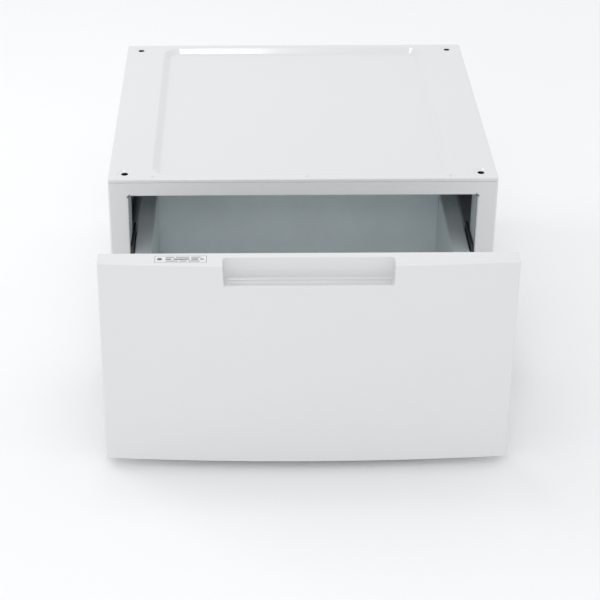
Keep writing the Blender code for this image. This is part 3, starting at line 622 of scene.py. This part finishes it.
def front_plan(steps=88):
    reach = FRONT_HALF - FRONT_CORNER - 0.002
    xs = [reach * (2 * step / steps - 1) for step in range(steps + 1)]
    face = [(x, front_y(x)) for x in xs]
    corner = [(-FRONT_HALF, DRAWER_REAR), (-FRONT_HALF, front_y(FRONT_HALF)), face[0]]
    left = [tuple(point) for point in rounded_path(corner, (FRONT_CORNER,), 8)[:-1]]
    return left + face + [(-x, y) for x, y in reversed(left)]


def scoop_cutter():
    """The scoop's air: open in front above the lip, a pocket with a rounded floor behind it."""
    mesh = bmesh.new()
    count = 48
    ahead = front_y(0) - 0.02
    rear = DRAWER_REAR - SCOOP_REAR

    def sides(draft):
        half, back = SCOOP_HALF - draft, rear - draft
        right = []
        for step in range(5):
            angle = math.pi / 2 * step / 4
            x = half - SCOOP_CORNER * (1 - math.sin(angle))
            right.append((x, back - SCOOP_CORNER * (1 - math.cos(angle))))
        right.append((half, front_y(half) + LIP_WALL))
        return right, [(-x, y) for x, y in reversed(right)]

    def across(draft):
        half = SCOOP_HALF - draft
        return [half * (1 - 2 * step / count) for step in range(count + 1)]

    def ring(z, draft, open_front, rise=0.0):
        right, left = sides(draft)
        xs = across(draft)
        if open_front:
            front = [(x, ahead) for x in xs]
        else:
            front = [(x, front_y(x) + LIP_WALL + rise) for x in xs[1:-1]]
            right[-1] = (right[-1][0], right[-1][1] + rise)
            left[0] = (left[0][0], left[0][1] + rise)
        return [[mesh.verts.new((x, y, z)) for x, y in run] for run in (right, front, left)]

    lip = FRONT_TOP - SCOOP_LIP
    upper = ring(FRONT_TOP + 0.005, 0.0, True)
    right, front, left = ring(lip, SCOOP_DRAFT, True)
    bridge(mesh, sum(upper, []), right + front + left)
    back_xs = across(SCOOP_DRAFT)[1:-1]
    back = [mesh.verts.new((x, front_y(x) + LIP_WALL, lip)) for x in back_xs]
    bridge(mesh, front, [right[-1], *back, left[0]], closed=False)
    above = right + back + left
    floor = FRONT_TOP - SCOOP_DEPTH
    levels = [(floor + SCOOP_FLOOR_FILLET, 0.0)]
    for step in range(1, 7):
        angle = math.pi / 2 * step / 6
        inset = SCOOP_FLOOR_FILLET * (1 - math.cos(angle))
        levels.append((floor + SCOOP_FLOOR_FILLET * (1 - math.sin(angle)), inset * 0.9))
    for z, inset in levels:
        below = sum(ring(z, 2 * SCOOP_DRAFT + inset, False, inset), [])
        bridge(mesh, above, below)
        above = below
    mesh.faces.new(above)
    mesh.faces.new(list(reversed(sum(upper, []))))
    return mesh


def build_front():
    """The bowed drawer front with its finger scoop, every edge softly rounded."""
    mesh = bmesh.new()
    plan = front_plan()
    loft(mesh, [[(x, y, z) for x, y in plan] for z in (FRONT_BOTTOM, FRONT_TOP)])
    nodes = ["drawer_front_shell"]
    piece = make_piece("front_panel", mesh, "white_gloss_plastic", "drawer", nodes, keep=True)
    carve(piece, scoop_cutter())
    finish_edges(piece, FRONT_EDGE, 5, 40)
    piece.modifiers.remove(piece.modifiers["even_shading"])
    bake(piece)
    rim = 0.0025
    low = (-FRONT_HALF + rim, DRAWER_REAR - 0.0016, FRONT_BOTTOM + rim)
    high = (FRONT_HALF - rim, DRAWER_REAR + 0.005, FRONT_TOP - rim)
    carve(piece, box_mesh(low, high))
    piece.data.polygons.foreach_set("use_smooth", [True] * len(piece.data.polygons))
    finish_edges(piece, 0, 0, 40)


# Each row of the label: half the thickness of its bars, and their lengths.
LABEL_BARS = (
    (0.0010, (0.014, 0.022, 0.016)),
    (0.0019, (0.010, 0.026, 0.012, 0.006)),
    (0.0011, (0.020, 0.012, 0.018)),
)


def build_sticker():
    """A plain paper label on the front's top face, with a ruled border and blank bars."""
    made = Nodes("label_paper")
    tone = made.spread(made.noise(200.0), 0.0, 1.0)
    made.set(Base_Color=made.mix(tone, (0.78, 0.78, 0.775), (0.75, 0.75, 0.745)), Roughness=0.45)
    ink = Nodes("label_grey_print")
    tone = ink.spread(ink.noise(300.0), 0.0, 1.0)
    ink.set(Base_Color=ink.mix(tone, (0.13, 0.13, 0.125), (0.18, 0.18, 0.175)), Roughness=0.55)
    low, high = (-0.2495, DRAWER_REAR - 0.0325), (-0.1625, DRAWER_REAR - 0.0070)
    paper = bmesh.new()
    base = FRONT_TOP + 0.00002
    ring = rounded_rectangle(low[0], high[0], low[1], high[1], 0.0015, 4)
    loft(paper, [[(x, y, z) for x, y in ring] for z in (base, base + 0.00012)])
    make_piece(
        "blank_label", paper, "white_gloss_plastic", "drawer", sharp=50, material=made.material
    )
    printed = bmesh.new()
    print_top = base + 0.00018
    inset = 0.0016
    rings = []
    for step in (inset, inset + 0.0007):
        ring = rounded_rectangle(low[0] + step, high[0] - step, low[1] + step, high[1] - step, 0.001, 3)
        rings.append([(x, y, print_top) for x, y in ring])
        rings.append([(x, y, base + 0.00010) for x, y in ring])
    loft(printed, [rings[0], rings[1], rings[3], rings[2]], closed_ring=True)
    left = low[0] + 0.019
    for row, (half, reaches) in enumerate(LABEL_BARS):
        y = high[1] - 0.0066 - row * 0.0064
        start = left
        for reach in reaches:
            strip = rounded_rectangle(start, start + reach, y - half, y + half, 0.8 * half, 2)
            loft(printed, [[(x, v, z) for x, v in strip] for z in (base + 0.00010, print_top)])
            start += reach + 0.0026
    spot = [(0.0042, base + 0.00010), (0.0042, print_top)]
    loft(printed, turned_loops(spot, 24, (low[0] + 0.0095, (low[1] + high[1]) / 2, 0)))
    make_piece(
        "blank_label_print", printed, "white_gloss_plastic", "drawer", sharp=50, material=ink.material
    )


BOX_WALL = 0.2695
RIM_LIP = 0.241


def build_box():
    """The bare steel drawer box: two sides with flat rims, an inner front, a back and a floor."""
    for name, side in SIDES.items():
        node = f"drawer_{name}_side"
        low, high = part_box(node)
        outer = max(abs(low.x), abs(high.x))
        corners = [
            (BOX_WALL - 0.015, low.z + SHEET),
            (BOX_WALL, low.z + SHEET),
            (BOX_WALL, high.z),
            (outer, high.z),
            (outer, RIM_LIP),
        ]
        path = rounded_path(corners, (0.0006, 0.0040, 0.0024), 8)
        folded_piece(f"box_side_{name}", path, -SHEET, "Y", (low.y, high.y), side, "drawer", node)
    for node in ("drawer_inner_front", "drawer_back"):
        low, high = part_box(node)
        corners = [(high.y, high.z), (low.y, high.z), (low.y, low.z)]
        path = rounded_path(corners, (0.0022,), 8)
        folded_piece(f"{node}_sheet", path, SHEET, "X", (low.x, high.x), 1, "drawer", node)
    low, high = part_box("drawer_floor")
    mesh = bmesh.new()
    bounds = (low.x, high.x, low.y, high.y)
    rows = loft(mesh, pressed_loops(bounds, high.z, 0.030, 0.002, "Z", 1), caps=False)
    mesh.faces.new(rows[-1])
    face_towards(mesh, (0, 0, 1))
    floor = make_piece(
        "drawer_floor_sheet", mesh, "galvanised_steel", "drawer", ["drawer_floor"], keep=True
    )
    thicken(floor, SHEET)
    finish_edges(floor, 0, 0, 50)


# ------------------------------------------------------------------------------- inside pieces

STRONG_SHEET = 0.0015


def x_reach(name):
    """How far a left or right node reaches from the middle: its inner and outer |x|."""
    low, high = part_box(name)
    return min(abs(low.x), abs(high.x)), max(abs(low.x), abs(high.x))


def through_x(name, side):
    """A run along X that passes right through a left or right node."""
    inner, outer = x_reach(name)
    return sorted((side * (inner - 0.01), side * (outer + 0.01)))


def leg_place(end, name):
    """The axis of one levelling leg."""
    low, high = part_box(f"leg_stem_{end}_{name}")
    return (low.x + high.x) / 2, (low.y + high.y) / 2


def add_bar(mesh, outline, axis, start, end):
    """A closed straight bar of this outline, for cutters and small blocks."""
    loft(mesh, [[to_space(u, v, w, axis) for u, v in outline] for w in (start, end)])


def build_base_rails():
    """Four C rails round the bottom; the side ones have holes for the legs and three slots."""
    for name, side in SIDES.items():
        node = f"{name}_base_rail"
        low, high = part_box(node)
        inner, outer = x_reach(node)
        corners = [(inner, low.z), (outer, low.z), (outer, high.z), (inner, high.z)]
        mesh = bmesh.new()
        path = rounded_path(corners, (0.0024, 0.0024), 6)
        sheet_run(mesh, path, STRONG_SHEET, "Y", low.y, high.y, side)
        rail = make_piece(
            f"base_rail_{name}", mesh, "galvanised_steel", "cabinet", [node], keep=True
        )
        holes = bmesh.new()
        for end in ENDS:
            heights = [(0.0054, low.z - 0.01), (0.0054, low.z + 0.01)]
            loft(holes, turned_loops(heights, 32, (*leg_place(end, name), 0)))
        middle_x, middle_y = side * (inner + outer) / 2, (low.y + high.y) / 2
        for offset in (-0.16, 0.0, 0.16):
            y = middle_y + offset
            slot = rounded_rectangle(middle_x - 0.008, middle_x + 0.008, y - 0.018, y + 0.018, 0.0078)
            add_bar(holes, slot, "Z", low.z - 0.01, low.z + 0.01)
        carve(rail, holes)
        finish_edges(rail, 0.0002, 2, 50)
    for name in ENDS:
        node = f"{name}_base_rail"
        low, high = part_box(node)
        near, far = (low.y, high.y) if name == "front" else (high.y, low.y)
        corners = [(far, high.z), (near, high.z), (near, low.z), (far, low.z)]
        inwards = STRONG_SHEET if far > near else -STRONG_SHEET
        path = rounded_path(corners, (0.0024, 0.0024), 6)
        folded_piece(f"base_rail_{name}", path, inwards, "X", (low.x, high.x), 1, "cabinet", node)


def build_deck_channels():
    """A hat section under each side strip of the deck."""
    flange, slope = 0.009, 0.002
    for name, side in SIDES.items():
        node = f"{name}_deck_channel"
        low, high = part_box(node)
        inner, outer = x_reach(node)
        bottom = low.z + STRONG_SHEET
        corners = [
            (inner, high.z),
            (inner + flange, high.z),
            (inner + flange + slope, bottom),
            (outer - flange - slope, bottom),
            (outer - flange, high.z),
            (outer, high.z),
        ]
        path = rounded_path(corners, (0.0022, 0.0022, 0.0022, 0.0022), 6)
        span = (low.y, high.y)
        folded_piece(f"channel_{name}", path, -STRONG_SHEET, "Y", span, side, "cabinet", node)


def build_columns():
    """A U section behind each front corner."""
    for name, side in SIDES.items():
        node = f"front_column_{name}"
        low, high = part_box(node)
        inner, outer = x_reach(node)
        corners = [(outer, low.y), (inner, low.y), (inner, high.y), (outer, high.y)]
        path = rounded_path(corners, (0.0022, 0.0022), 6)
        span = (low.z, high.z)
        folded_piece(f"column_{name}", path, -STRONG_SHEET, "Z", span, side, "cabinet", node)


GUIDE_FIN = 0.3030


def build_brackets():
    """The U section that carries each slide, with a plastic guide ahead of it."""
    for name, side in SIDES.items():
        node = f"{name}_slide_bracket"
        low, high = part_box(node)
        inner, outer = x_reach(node)
        corners = [(outer, low.z), (inner, low.z), (inner, high.z), (outer, high.z)]
        path = rounded_path(corners, (0.0022, 0.0022), 6)
        span = (low.y, high.y)
        folded_piece(f"bracket_{name}", path, -STRONG_SHEET, "Y", span, side, "cabinet", node)
        build_guide(name, side, high.z)


def build_guide(name, side, bracket_top):
    """The black plastic guide ahead of the bracket: a ribbed block with a fin beside the rim."""
    node = f"slide_guide_{name}"
    low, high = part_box(node)
    inner, outer = x_reach(node)
    section = [
        (inner, low.z),
        (outer, low.z),
        (outer, high.z),
        (GUIDE_FIN, high.z),
        (GUIDE_FIN, bracket_top),
        (inner, bracket_top),
        (inner, low.z + 0.001),
    ]
    curves = (0.0015, 0.0012, 0.0012, 0.0015, 0.0020)
    outline = [(side * p.x, p.y) for p in rounded_path(section, curves, 5)]
    mesh = bmesh.new()
    add_bar(mesh, outline, "Y", low.y, high.y)
    piece = make_piece(f"guide_{name}", mesh, "black_plastic", "cabinet", [node], keep=True)
    grooves = bmesh.new()
    reach = sorted((side * (inner - 0.01), side * (GUIDE_FIN - 0.0006)))
    for step in range(1, 8):
        y = between(low.y, high.y, step / 8)
        groove = [(y - 0.0012, bracket_top - 0.0010), (y + 0.0012, bracket_top - 0.0010)]
        groove += [(y + 0.0012, bracket_top + 0.002), (y - 0.0012, bracket_top + 0.002)]
        add_bar(grooves, groove, "X", *reach)
    nose = [(low.y - 0.01, high.z + 0.01), (low.y - 0.01, high.z - 0.010)]
    nose += [(low.y, high.z - 0.010), (low.y + 0.014, high.z + 0.01)]
    add_bar(grooves, nose, "X", *through_x(node, side))
    carve(piece, grooves)
    finish_edges(piece, 0.0003, 2, 35)


# ---------------------------------------------------------------------------- slides and levers

SLIDE_SHEET = 0.0012
CAGE_SHEET = 0.0005
BALL_RADII = {"outer": 0.00175, "inner": 0.0015}
HUB_RADIUS = 0.0045


def slide_section(node, thickness, bend):
    """The C section of a slide member or a cage, its open side facing its neighbour."""
    low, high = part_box(node)
    inner, outer = x_reach(node)
    web, tip = (inner, outer) if "inner" in node and "slide" in node else (outer, inner)
    corners = [(tip, low.z), (web, low.z), (web, high.z), (tip, high.z)]
    inwards = thickness if web > tip else -thickness
    return rounded_path(corners, (bend, bend), 6), inwards


def build_slide_member(node, body, side, holes, slots):
    """A rolled steel member with round holes and slots punched in its web."""
    low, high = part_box(node)
    path, inwards = slide_section(node, SLIDE_SHEET, 0.0018)
    mesh = bmesh.new()
    sheet_run(mesh, path, inwards, "Y", low.y, high.y, side)
    piece = make_piece(f"{node}_member", mesh, "zinc_plated_steel", body, [node], keep=True)
    cutter = bmesh.new()
    middle = (low.z + high.z) / 2
    reach = through_x(node, side)
    for share in holes:
        y = between(low.y, high.y, share)
        loft(cutter, turned_loops([(0.0023, reach[0]), (0.0023, reach[1])], 24, (0, y, middle), "X"))
    for share in slots:
        y = between(low.y, high.y, share)
        outline = rounded_rectangle(y - 0.009, y + 0.009, middle - 0.0032, middle + 0.0032, 0.0031, 6)
        add_bar(cutter, outline, "X", *reach)
    carve(piece, cutter)
    finish_edges(piece, 0.00015, 2, 50)


def build_ball_cage(node, body, side, ball):
    """A thin folded strip with windows in its web and a row of balls along each arm."""
    low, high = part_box(node)
    inner, outer = x_reach(node)
    middle_z, middle_y = (low.z + high.z) / 2, (low.y + high.y) / 2
    row = (high.z - low.z) / 2 - ball
    arm = row + CAGE_SHEET / 2
    corners = [
        (inner, middle_z - arm),
        (outer, middle_z - arm),
        (outer, middle_z + arm),
        (inner, middle_z + arm),
    ]
    mesh = bmesh.new()
    path = rounded_path(corners, (0.0008, 0.0008), 4)
    sheet_run(mesh, path, CAGE_SHEET, "Y", low.y, high.y, side)
    piece = make_piece(f"{node}_strip", mesh, "zinc_plated_steel", body, [node], keep=True)
    windows = bmesh.new()
    for step in range(-3, 4):
        y = middle_y + step * 0.026
        outline = rounded_rectangle(
            y - 0.009, y + 0.009, middle_z - 0.5 * row, middle_z + 0.5 * row, 0.002, 4
        )
        add_bar(windows, outline, "X", *through_x(node, side))
    carve(piece, windows)
    balls = bmesh.new()
    count = 13
    for arm_side in (-1, 1):
        for index in range(count):
            made = bmesh.ops.create_uvsphere(balls, u_segments=20, v_segments=10, radius=ball)
            y = middle_y + (index - (count - 1) / 2) * 0.015
            place = Vector((side * (inner + outer) / 2, y, middle_z + arm_side * row))
            bmesh.ops.translate(balls, verts=made["verts"], vec=place)
    carve(piece, balls, "UNION")
    piece.data.polygons.foreach_set("use_smooth", [True] * len(piece.data.polygons))
    finish_edges(piece, 0, 0, 40)


def build_lever(node, body, side):
    """A moulded lever: round hub, tapering bar and a ribbed thumb pad."""
    low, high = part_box(node)
    inner, outer = x_reach(node)
    pivot_y, pivot_z = high.y - HUB_RADIUS, (low.z + high.z) / 2
    bar, pad, pad_length = 0.0022, min((high.z - low.z) / 2, 0.0032), 0.011
    length = pivot_y - low.y
    outline = []
    for step in range(25):
        angle = math.radians(-148 + 296 * step / 24)
        outline.append((HUB_RADIUS * math.cos(angle), HUB_RADIUS * math.sin(angle)))
    end = [
        (-0.006, bar),
        (pad_length + 0.004 - length, bar),
        (pad_length - length, pad),
        (-length, pad),
        (-length, 0),
    ]
    upper = [tuple(point) for point in rounded_path(end, (0.002, 0.002, 0.0014), 5)[1:]]
    outline += upper + [(y, -z) for y, z in reversed(upper[:-1])]
    mesh = bmesh.new()
    faces = sorted((side * inner, side * outer))
    add_bar(mesh, [(pivot_y + y, pivot_z + z) for y, z in outline], "X", *faces)
    piece = make_piece(f"{node}_arm", mesh, "black_plastic", body, [node], keep=True)
    cutter = bmesh.new()
    reach = through_x(node, side)
    loft(cutter, turned_loops([(0.0018, reach[0]), (0.0018, reach[1])], 24, (0, pivot_y, pivot_z), "X"))
    for step in range(4):
        y = low.y + 0.0022 + step * 0.0021
        for edge in (-1, 1):
            z = pivot_z + edge * (pad + 0.0003)
            groove = rounded_rectangle(y - 0.0005, y + 0.0005, z - 0.0007, z + 0.0007, 0.0004, 3)
            add_bar(cutter, groove, "X", *reach)
    carve(piece, cutter)
    finish_edges(piece, 0.0003, 2, 35)


def build_slides():
    for name, side in SIDES.items():
        mount_holes = (0.06, 0.30, 0.55, 0.80, 0.96)
        build_slide_member(f"slide_outer_{name}", "cabinet", side, mount_holes, (0.14, 0.66, 0.88))
        build_slide_member(
            f"slide_middle_{name}", f"slide_middle_{name}", side, (0.04, 0.50, 0.96), (0.25, 0.75)
        )
        build_slide_member(f"slide_inner_{name}", "drawer", side, (0.05, 0.34, 0.62, 0.93), (0.18, 0.78))
        for layer, ball in BALL_RADII.items():
            cage = f"ball_cage_{layer}_{name}"
            build_ball_cage(cage, cage, side, ball)
        build_lever(f"release_lever_{name}", f"release_lever_{name}", side)


# ------------------------------------------------------------------- screws, bumpers and legs


def threaded_loops(radius, depth, pitch, start, end, sides, center, axis="Z", hand=1):
    """Rings of a screw thread along an axis: the groove runs out over one pitch at both ends."""
    loops = []
    rows = round((end - start) / pitch * 8)
    for row in range(rows + 1):
        height = start + (end - start) * row / rows
        fade = min(1.0, (height - start) / pitch, (end - height) / pitch)
        loop = []
        for index in range(sides):
            angle = 2 * math.pi * index / sides
            wave = 0.5 - 0.5 * math.cos(2 * math.pi * height / pitch - hand * angle)
            groove = depth * fade * between(0.0, 1.0, 1.5 * wave - 0.25)
            u, v = (radius - groove) * math.cos(angle), (radius - groove) * math.sin(angle)
            loop.append(Vector(center) + to_space(u, v, height, axis))
        loops.append(loop)
    return loops


def build_screw(node, body):
    """A pan-head screw pointing forwards, with a cross recess and a fine thread."""
    low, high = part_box(node)
    center = ((low.x + high.x) / 2, 0, (low.z + high.z) / 2)
    seat, top = high.y - 0.0023, high.y
    sides = 32
    loops = turned_loops([(0.0008, low.y), (0.0014, low.y + 0.0008)], sides, center, "Y")
    loops += threaded_loops(0.0020, 0.0004, 0.0008, low.y + 0.0012, seat - 0.0006, sides, center, "Y", -1)
    head = [(0.0042, seat), (0.0042, seat + 0.0009), (0.0031, top - 0.0002), (0, top)]
    dome = rounded_path(head, (0.0003, 0.0012), 5)[:-1]
    profile = [(0.0020, seat), *dome, (0.0010, top)]
    loops += turned_loops(profile, sides, center, "Y")
    mesh = bmesh.new()
    loft(mesh, loops)
    piece = make_piece(f"{node}_cross_head", mesh, "zinc_plated_steel", body, [node], keep=True)
    for half_x, half_z in ((0.0021, 0.00045), (0.00045, 0.0021)):
        arm = box_mesh((-half_x, -0.0012, -half_z), (half_x, 0.001, half_z))
        for vertex in arm.verts:
            if vertex.co.y < 0:
                vertex.co.x *= 0.55
                vertex.co.z *= 0.55
        bmesh.ops.translate(arm, verts=arm.verts, vec=Vector((center[0], top, center[2])))
        carve(piece, arm)
    finish_edges(piece, 0, 0, 35)


def build_bumper(node, body):
    low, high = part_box(node)
    center = ((low.x + high.x) / 2, 0, (low.z + high.z) / 2)
    radius = (high.x - low.x) / 2
    corners = [(0, low.y), (radius, low.y), (radius, high.y), (0.0034, high.y), (0.0012, high.y - 0.0004)]
    profile = rounded_path(corners, (0.0002, 0.0016, 0.0010), 6)[1:]
    mesh = bmesh.new()
    loft(mesh, turned_loops(profile, 40, center, "Y"))
    make_piece(f"{node}_dome", mesh, "grey_rubber", body, [node], sharp=40)


def hexagon(width, z, center):
    corners = []
    for index in range(6):
        angle = math.pi * index / 3
        radius = width / 2 / math.cos(math.pi / 6)
        corners.append((center[0] + radius * math.cos(angle), center[1] + radius * math.sin(angle), z))
    return corners


def hex_mesh(width, low, high, center):
    """A plain hexagonal prism."""
    mesh = bmesh.new()
    loft(mesh, [hexagon(width, z, center) for z in (low, high)])
    return mesh


def cone_cut(width, low, high, center):
    """The round body, coned at both ends, that trims a hexagon's corners."""
    corner, drop, past = width / 2 / math.cos(math.pi / 6) + 0.0001, 0.0008, 0.0004
    flat = width / 2 - 0.0002
    beyond = flat - (corner - flat) * past / drop
    mesh = bmesh.new()
    profile = [
        (beyond, low - past),
        (corner, low + drop),
        (corner, high - drop),
        (beyond, high + past),
    ]
    loft(mesh, turned_loops(profile, 64, (*center, 0)))
    return mesh


def build_leg(end, name):
    """The rubber pad, the threaded stem with its hexagon collar, and the lock nut."""
    center = leg_place(end, name)
    zinc = "zinc_plated_steel"
    pad = f"foot_pad_{end}_{name}"
    low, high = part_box(pad)
    radius, socket, floor = (high.x - low.x) / 2, 0.0051, 0.0040
    corners = [
        (0.002, 0.0012),
        (0.0085, 0.0012),
        (0.0095, 0.0),
        (radius - 0.0002, 0.0),
        (radius, 0.0046),
        (0.0150, 0.0066),
        (0.0095, high.z),
        (socket, high.z),
        (socket, floor),
        (0.002, floor),
    ]
    curves = (0.0006, 0.0006, 0.0014, 0.0008, 0.0010, 0.0008, 0.0004, 0.0003)
    mesh = bmesh.new()
    loft(mesh, turned_loops(rounded_path(corners, curves, 5), 64, (*center, 0)))
    make_piece(f"{pad}_rubber", mesh, "grey_rubber", pad, [pad], sharp=40)
    stem = f"leg_stem_{end}_{name}"
    low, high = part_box(stem)
    stem_radius, hex_width = 0.0048, 0.017
    collar, collar_top = 0.0103, 0.0148
    sides = 40
    loops = turned_loops([(0.0040, low.z), (stem_radius, low.z + 0.0006)], sides, (*center, 0))
    loops += turned_loops([(stem_radius, collar_top)], sides, (*center, 0))
    start, finish = collar_top + 0.0004, high.z - 0.0010
    loops += threaded_loops(stem_radius, 0.0007, 0.0015, start, finish, sides, (*center, 0))
    loops += turned_loops([(stem_radius - 0.0008, high.z)], sides, (*center, 0))
    mesh = bmesh.new()
    loft(mesh, loops)
    piece = make_piece(f"{stem}_thread", mesh, zinc, stem, [stem], keep=True)
    hexagonal = hex_mesh(hex_width, collar, collar_top, center)
    block = make_piece(f"{stem}_block", hexagonal, zinc, stem, keep=True)
    carve(block, cone_cut(hex_width, collar, collar_top, center), "INTERSECT")
    joined = bmesh.new()
    joined.from_mesh(block.data)
    bpy.data.objects.remove(block)
    carve(piece, joined, "UNION")
    finish_edges(piece, 0, 0, 35)
    nut = f"leg_lock_nut_{end}_{name}"
    low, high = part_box(nut)
    piece = make_piece(
        f"{nut}_hexagon",
        hex_mesh(hex_width, low.z, high.z, center),
        zinc,
        "cabinet",
        [nut],
        keep=True,
    )
    carve(piece, cone_cut(hex_width, low.z, high.z, center), "INTERSECT")
    bore = bmesh.new()
    ends = [
        (0.0059, low.z - 0.0001),
        (0.0052, low.z + 0.0006),
        (0.0052, high.z - 0.0006),
        (0.0059, high.z + 0.0001),
    ]
    loft(bore, turned_loops(ends, sides, (*center, 0)))
    carve(piece, bore)
    finish_edges(piece, 0, 0, 25)


def build_small_parts():
    for name in SIDES:
        for level in ("low", "high"):
            build_screw(f"rear_panel_screw_{name}_{level}", "cabinet")
            build_screw(f"drawer_front_screw_{name}_{level}", "drawer")
            build_bumper(f"drawer_bumper_{name}_{level}", "drawer")
        for end in ENDS:
            build_leg(end, name)


def build_liner():
    """The flat sheet that closes the drawer front's back, with its four screw holes."""
    low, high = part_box("drawer_front_liner")
    mesh = bmesh.new()
    ring = rounded_rectangle(low.x, high.x, low.z, high.z, 0.002, 4)
    rows = loft(mesh, [[(x, high.y, z) for x, z in ring]], caps=False)
    outline = rows[0]
    for index, vertex in enumerate(outline):
        mesh.edges.new((vertex, outline[(index + 1) % len(outline)]))
    openings = [outline]
    for name in SIDES:
        for level in ("low", "high"):
            screw_low, screw_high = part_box(f"drawer_front_screw_{name}_{level}")
            x, z = (screw_low.x + screw_high.x) / 2, (screw_low.z + screw_high.z) / 2
            hole = loft(mesh, turned_loops([(0.0026, high.y)], 24, (x, 0, z), "Y"), caps=False)[0]
            for index, vertex in enumerate(hole):
                mesh.edges.new((vertex, hole[(index + 1) % len(hole)]))
            openings.append(hole)
    fill_flat(mesh, openings)
    face_towards(mesh, (0, 1, 0))
    nodes = ["drawer_front_liner"]
    liner = make_piece("front_liner", mesh, "white_enamel", "drawer", nodes, keep=True)
    thicken(liner, high.y - low.y)
    finish_edges(liner, 0.0002, 2, 50)


# --------------------------------------------------------------------------- floor and lighting


def build_floor():
    """A wide, pale floor under the feet."""
    made = Nodes("pale_floor")
    tone = made.spread(made.noise(0.8), 0.0, 1.0)
    made.set(Base_Color=made.mix(tone, (0.93, 0.93, 0.93), (0.91, 0.91, 0.91)), Roughness=0.9)
    mesh = bmesh.new()
    bmesh.ops.create_circle(mesh, cap_ends=True, segments=96, radius=12.0)
    data = bpy.data.meshes.new("floor")
    mesh.to_mesh(data)
    mesh.free()
    floor = bpy.data.objects.new("floor", data)
    data.materials.append(made.material)
    SCENE.collection.objects.link(floor)


def add_area_light(name, place, target, size, power):
    data = bpy.data.lights.new(name, "AREA")
    data.shape = "RECTANGLE"
    data.size, data.size_y = size
    data.energy = power
    light = bpy.data.objects.new(name, data)
    light.location = place
    light.rotation_mode = "QUATERNION"
    light.rotation_quaternion = (Vector(target) - Vector(place)).to_track_quat("-Z", "Y")
    SCENE.collection.objects.link(light)


def build_lights():
    world = bpy.data.worlds.new("studio")
    SCENE.world = world
    world.use_nodes = True
    background = world.node_tree.nodes["Background"]
    background.inputs["Color"].default_value = (0.97, 0.985, 1.0, 1.0)
    background.inputs["Strength"].default_value = 0.92
    add_area_light("overhead", (-1.7, 0.6, 2.0), (0, 0, 0.3), (1.2, 1.2), 8.0)
    add_area_light("front_fill", (-0.3, -3.6, 2.6), (0, -0.2, 0.2), (1.0, 0.5), 15.0)
    add_area_light("pan_softbox", (-0.21, 0.45, 3.4), (-0.21, 0.45, 0.3), (0.36, 0.6), 6.0)
    SCENE.view_settings.view_transform = "Standard"


def build_camera():
    """From ahead, a little to the left, looking down on the deck and into the drawer."""
    data = bpy.data.cameras.new("camera")
    data.lens = 104.78
    data.sensor_width = 36.0
    data.shift_x = 0.0753
    camera = bpy.data.objects.new("camera", data)
    pitch, yaw, roll = math.radians(29.329), math.radians(-0.288), math.radians(0.140)
    level = Matrix(
        (
            (1, 0, 0),
            (0, -math.sin(pitch), -math.cos(pitch)),
            (0, math.cos(pitch), -math.sin(pitch)),
        )
    )
    turned = Matrix.Rotation(yaw, 3, "Z").transposed()
    leaned = Matrix.Rotation(-roll, 3, "Z")
    right, down, ahead = leaned @ level @ turned
    columns = Matrix((right, -down, -ahead)).transposed()
    camera.matrix_world = Matrix.Translation((-0.0994, -2.9346, 1.7077)) @ columns.to_4x4()
    SCENE.collection.objects.link(camera)
    SCENE.camera = camera


build_camera()
build_deck()
build_front_frame()
build_side_panels()
build_rear_panel()
build_base_rails()
build_deck_channels()
build_columns()
build_brackets()
build_front()
build_sticker()
build_liner()
build_box()
build_slides()
build_small_parts()
build_floor()
build_lights()
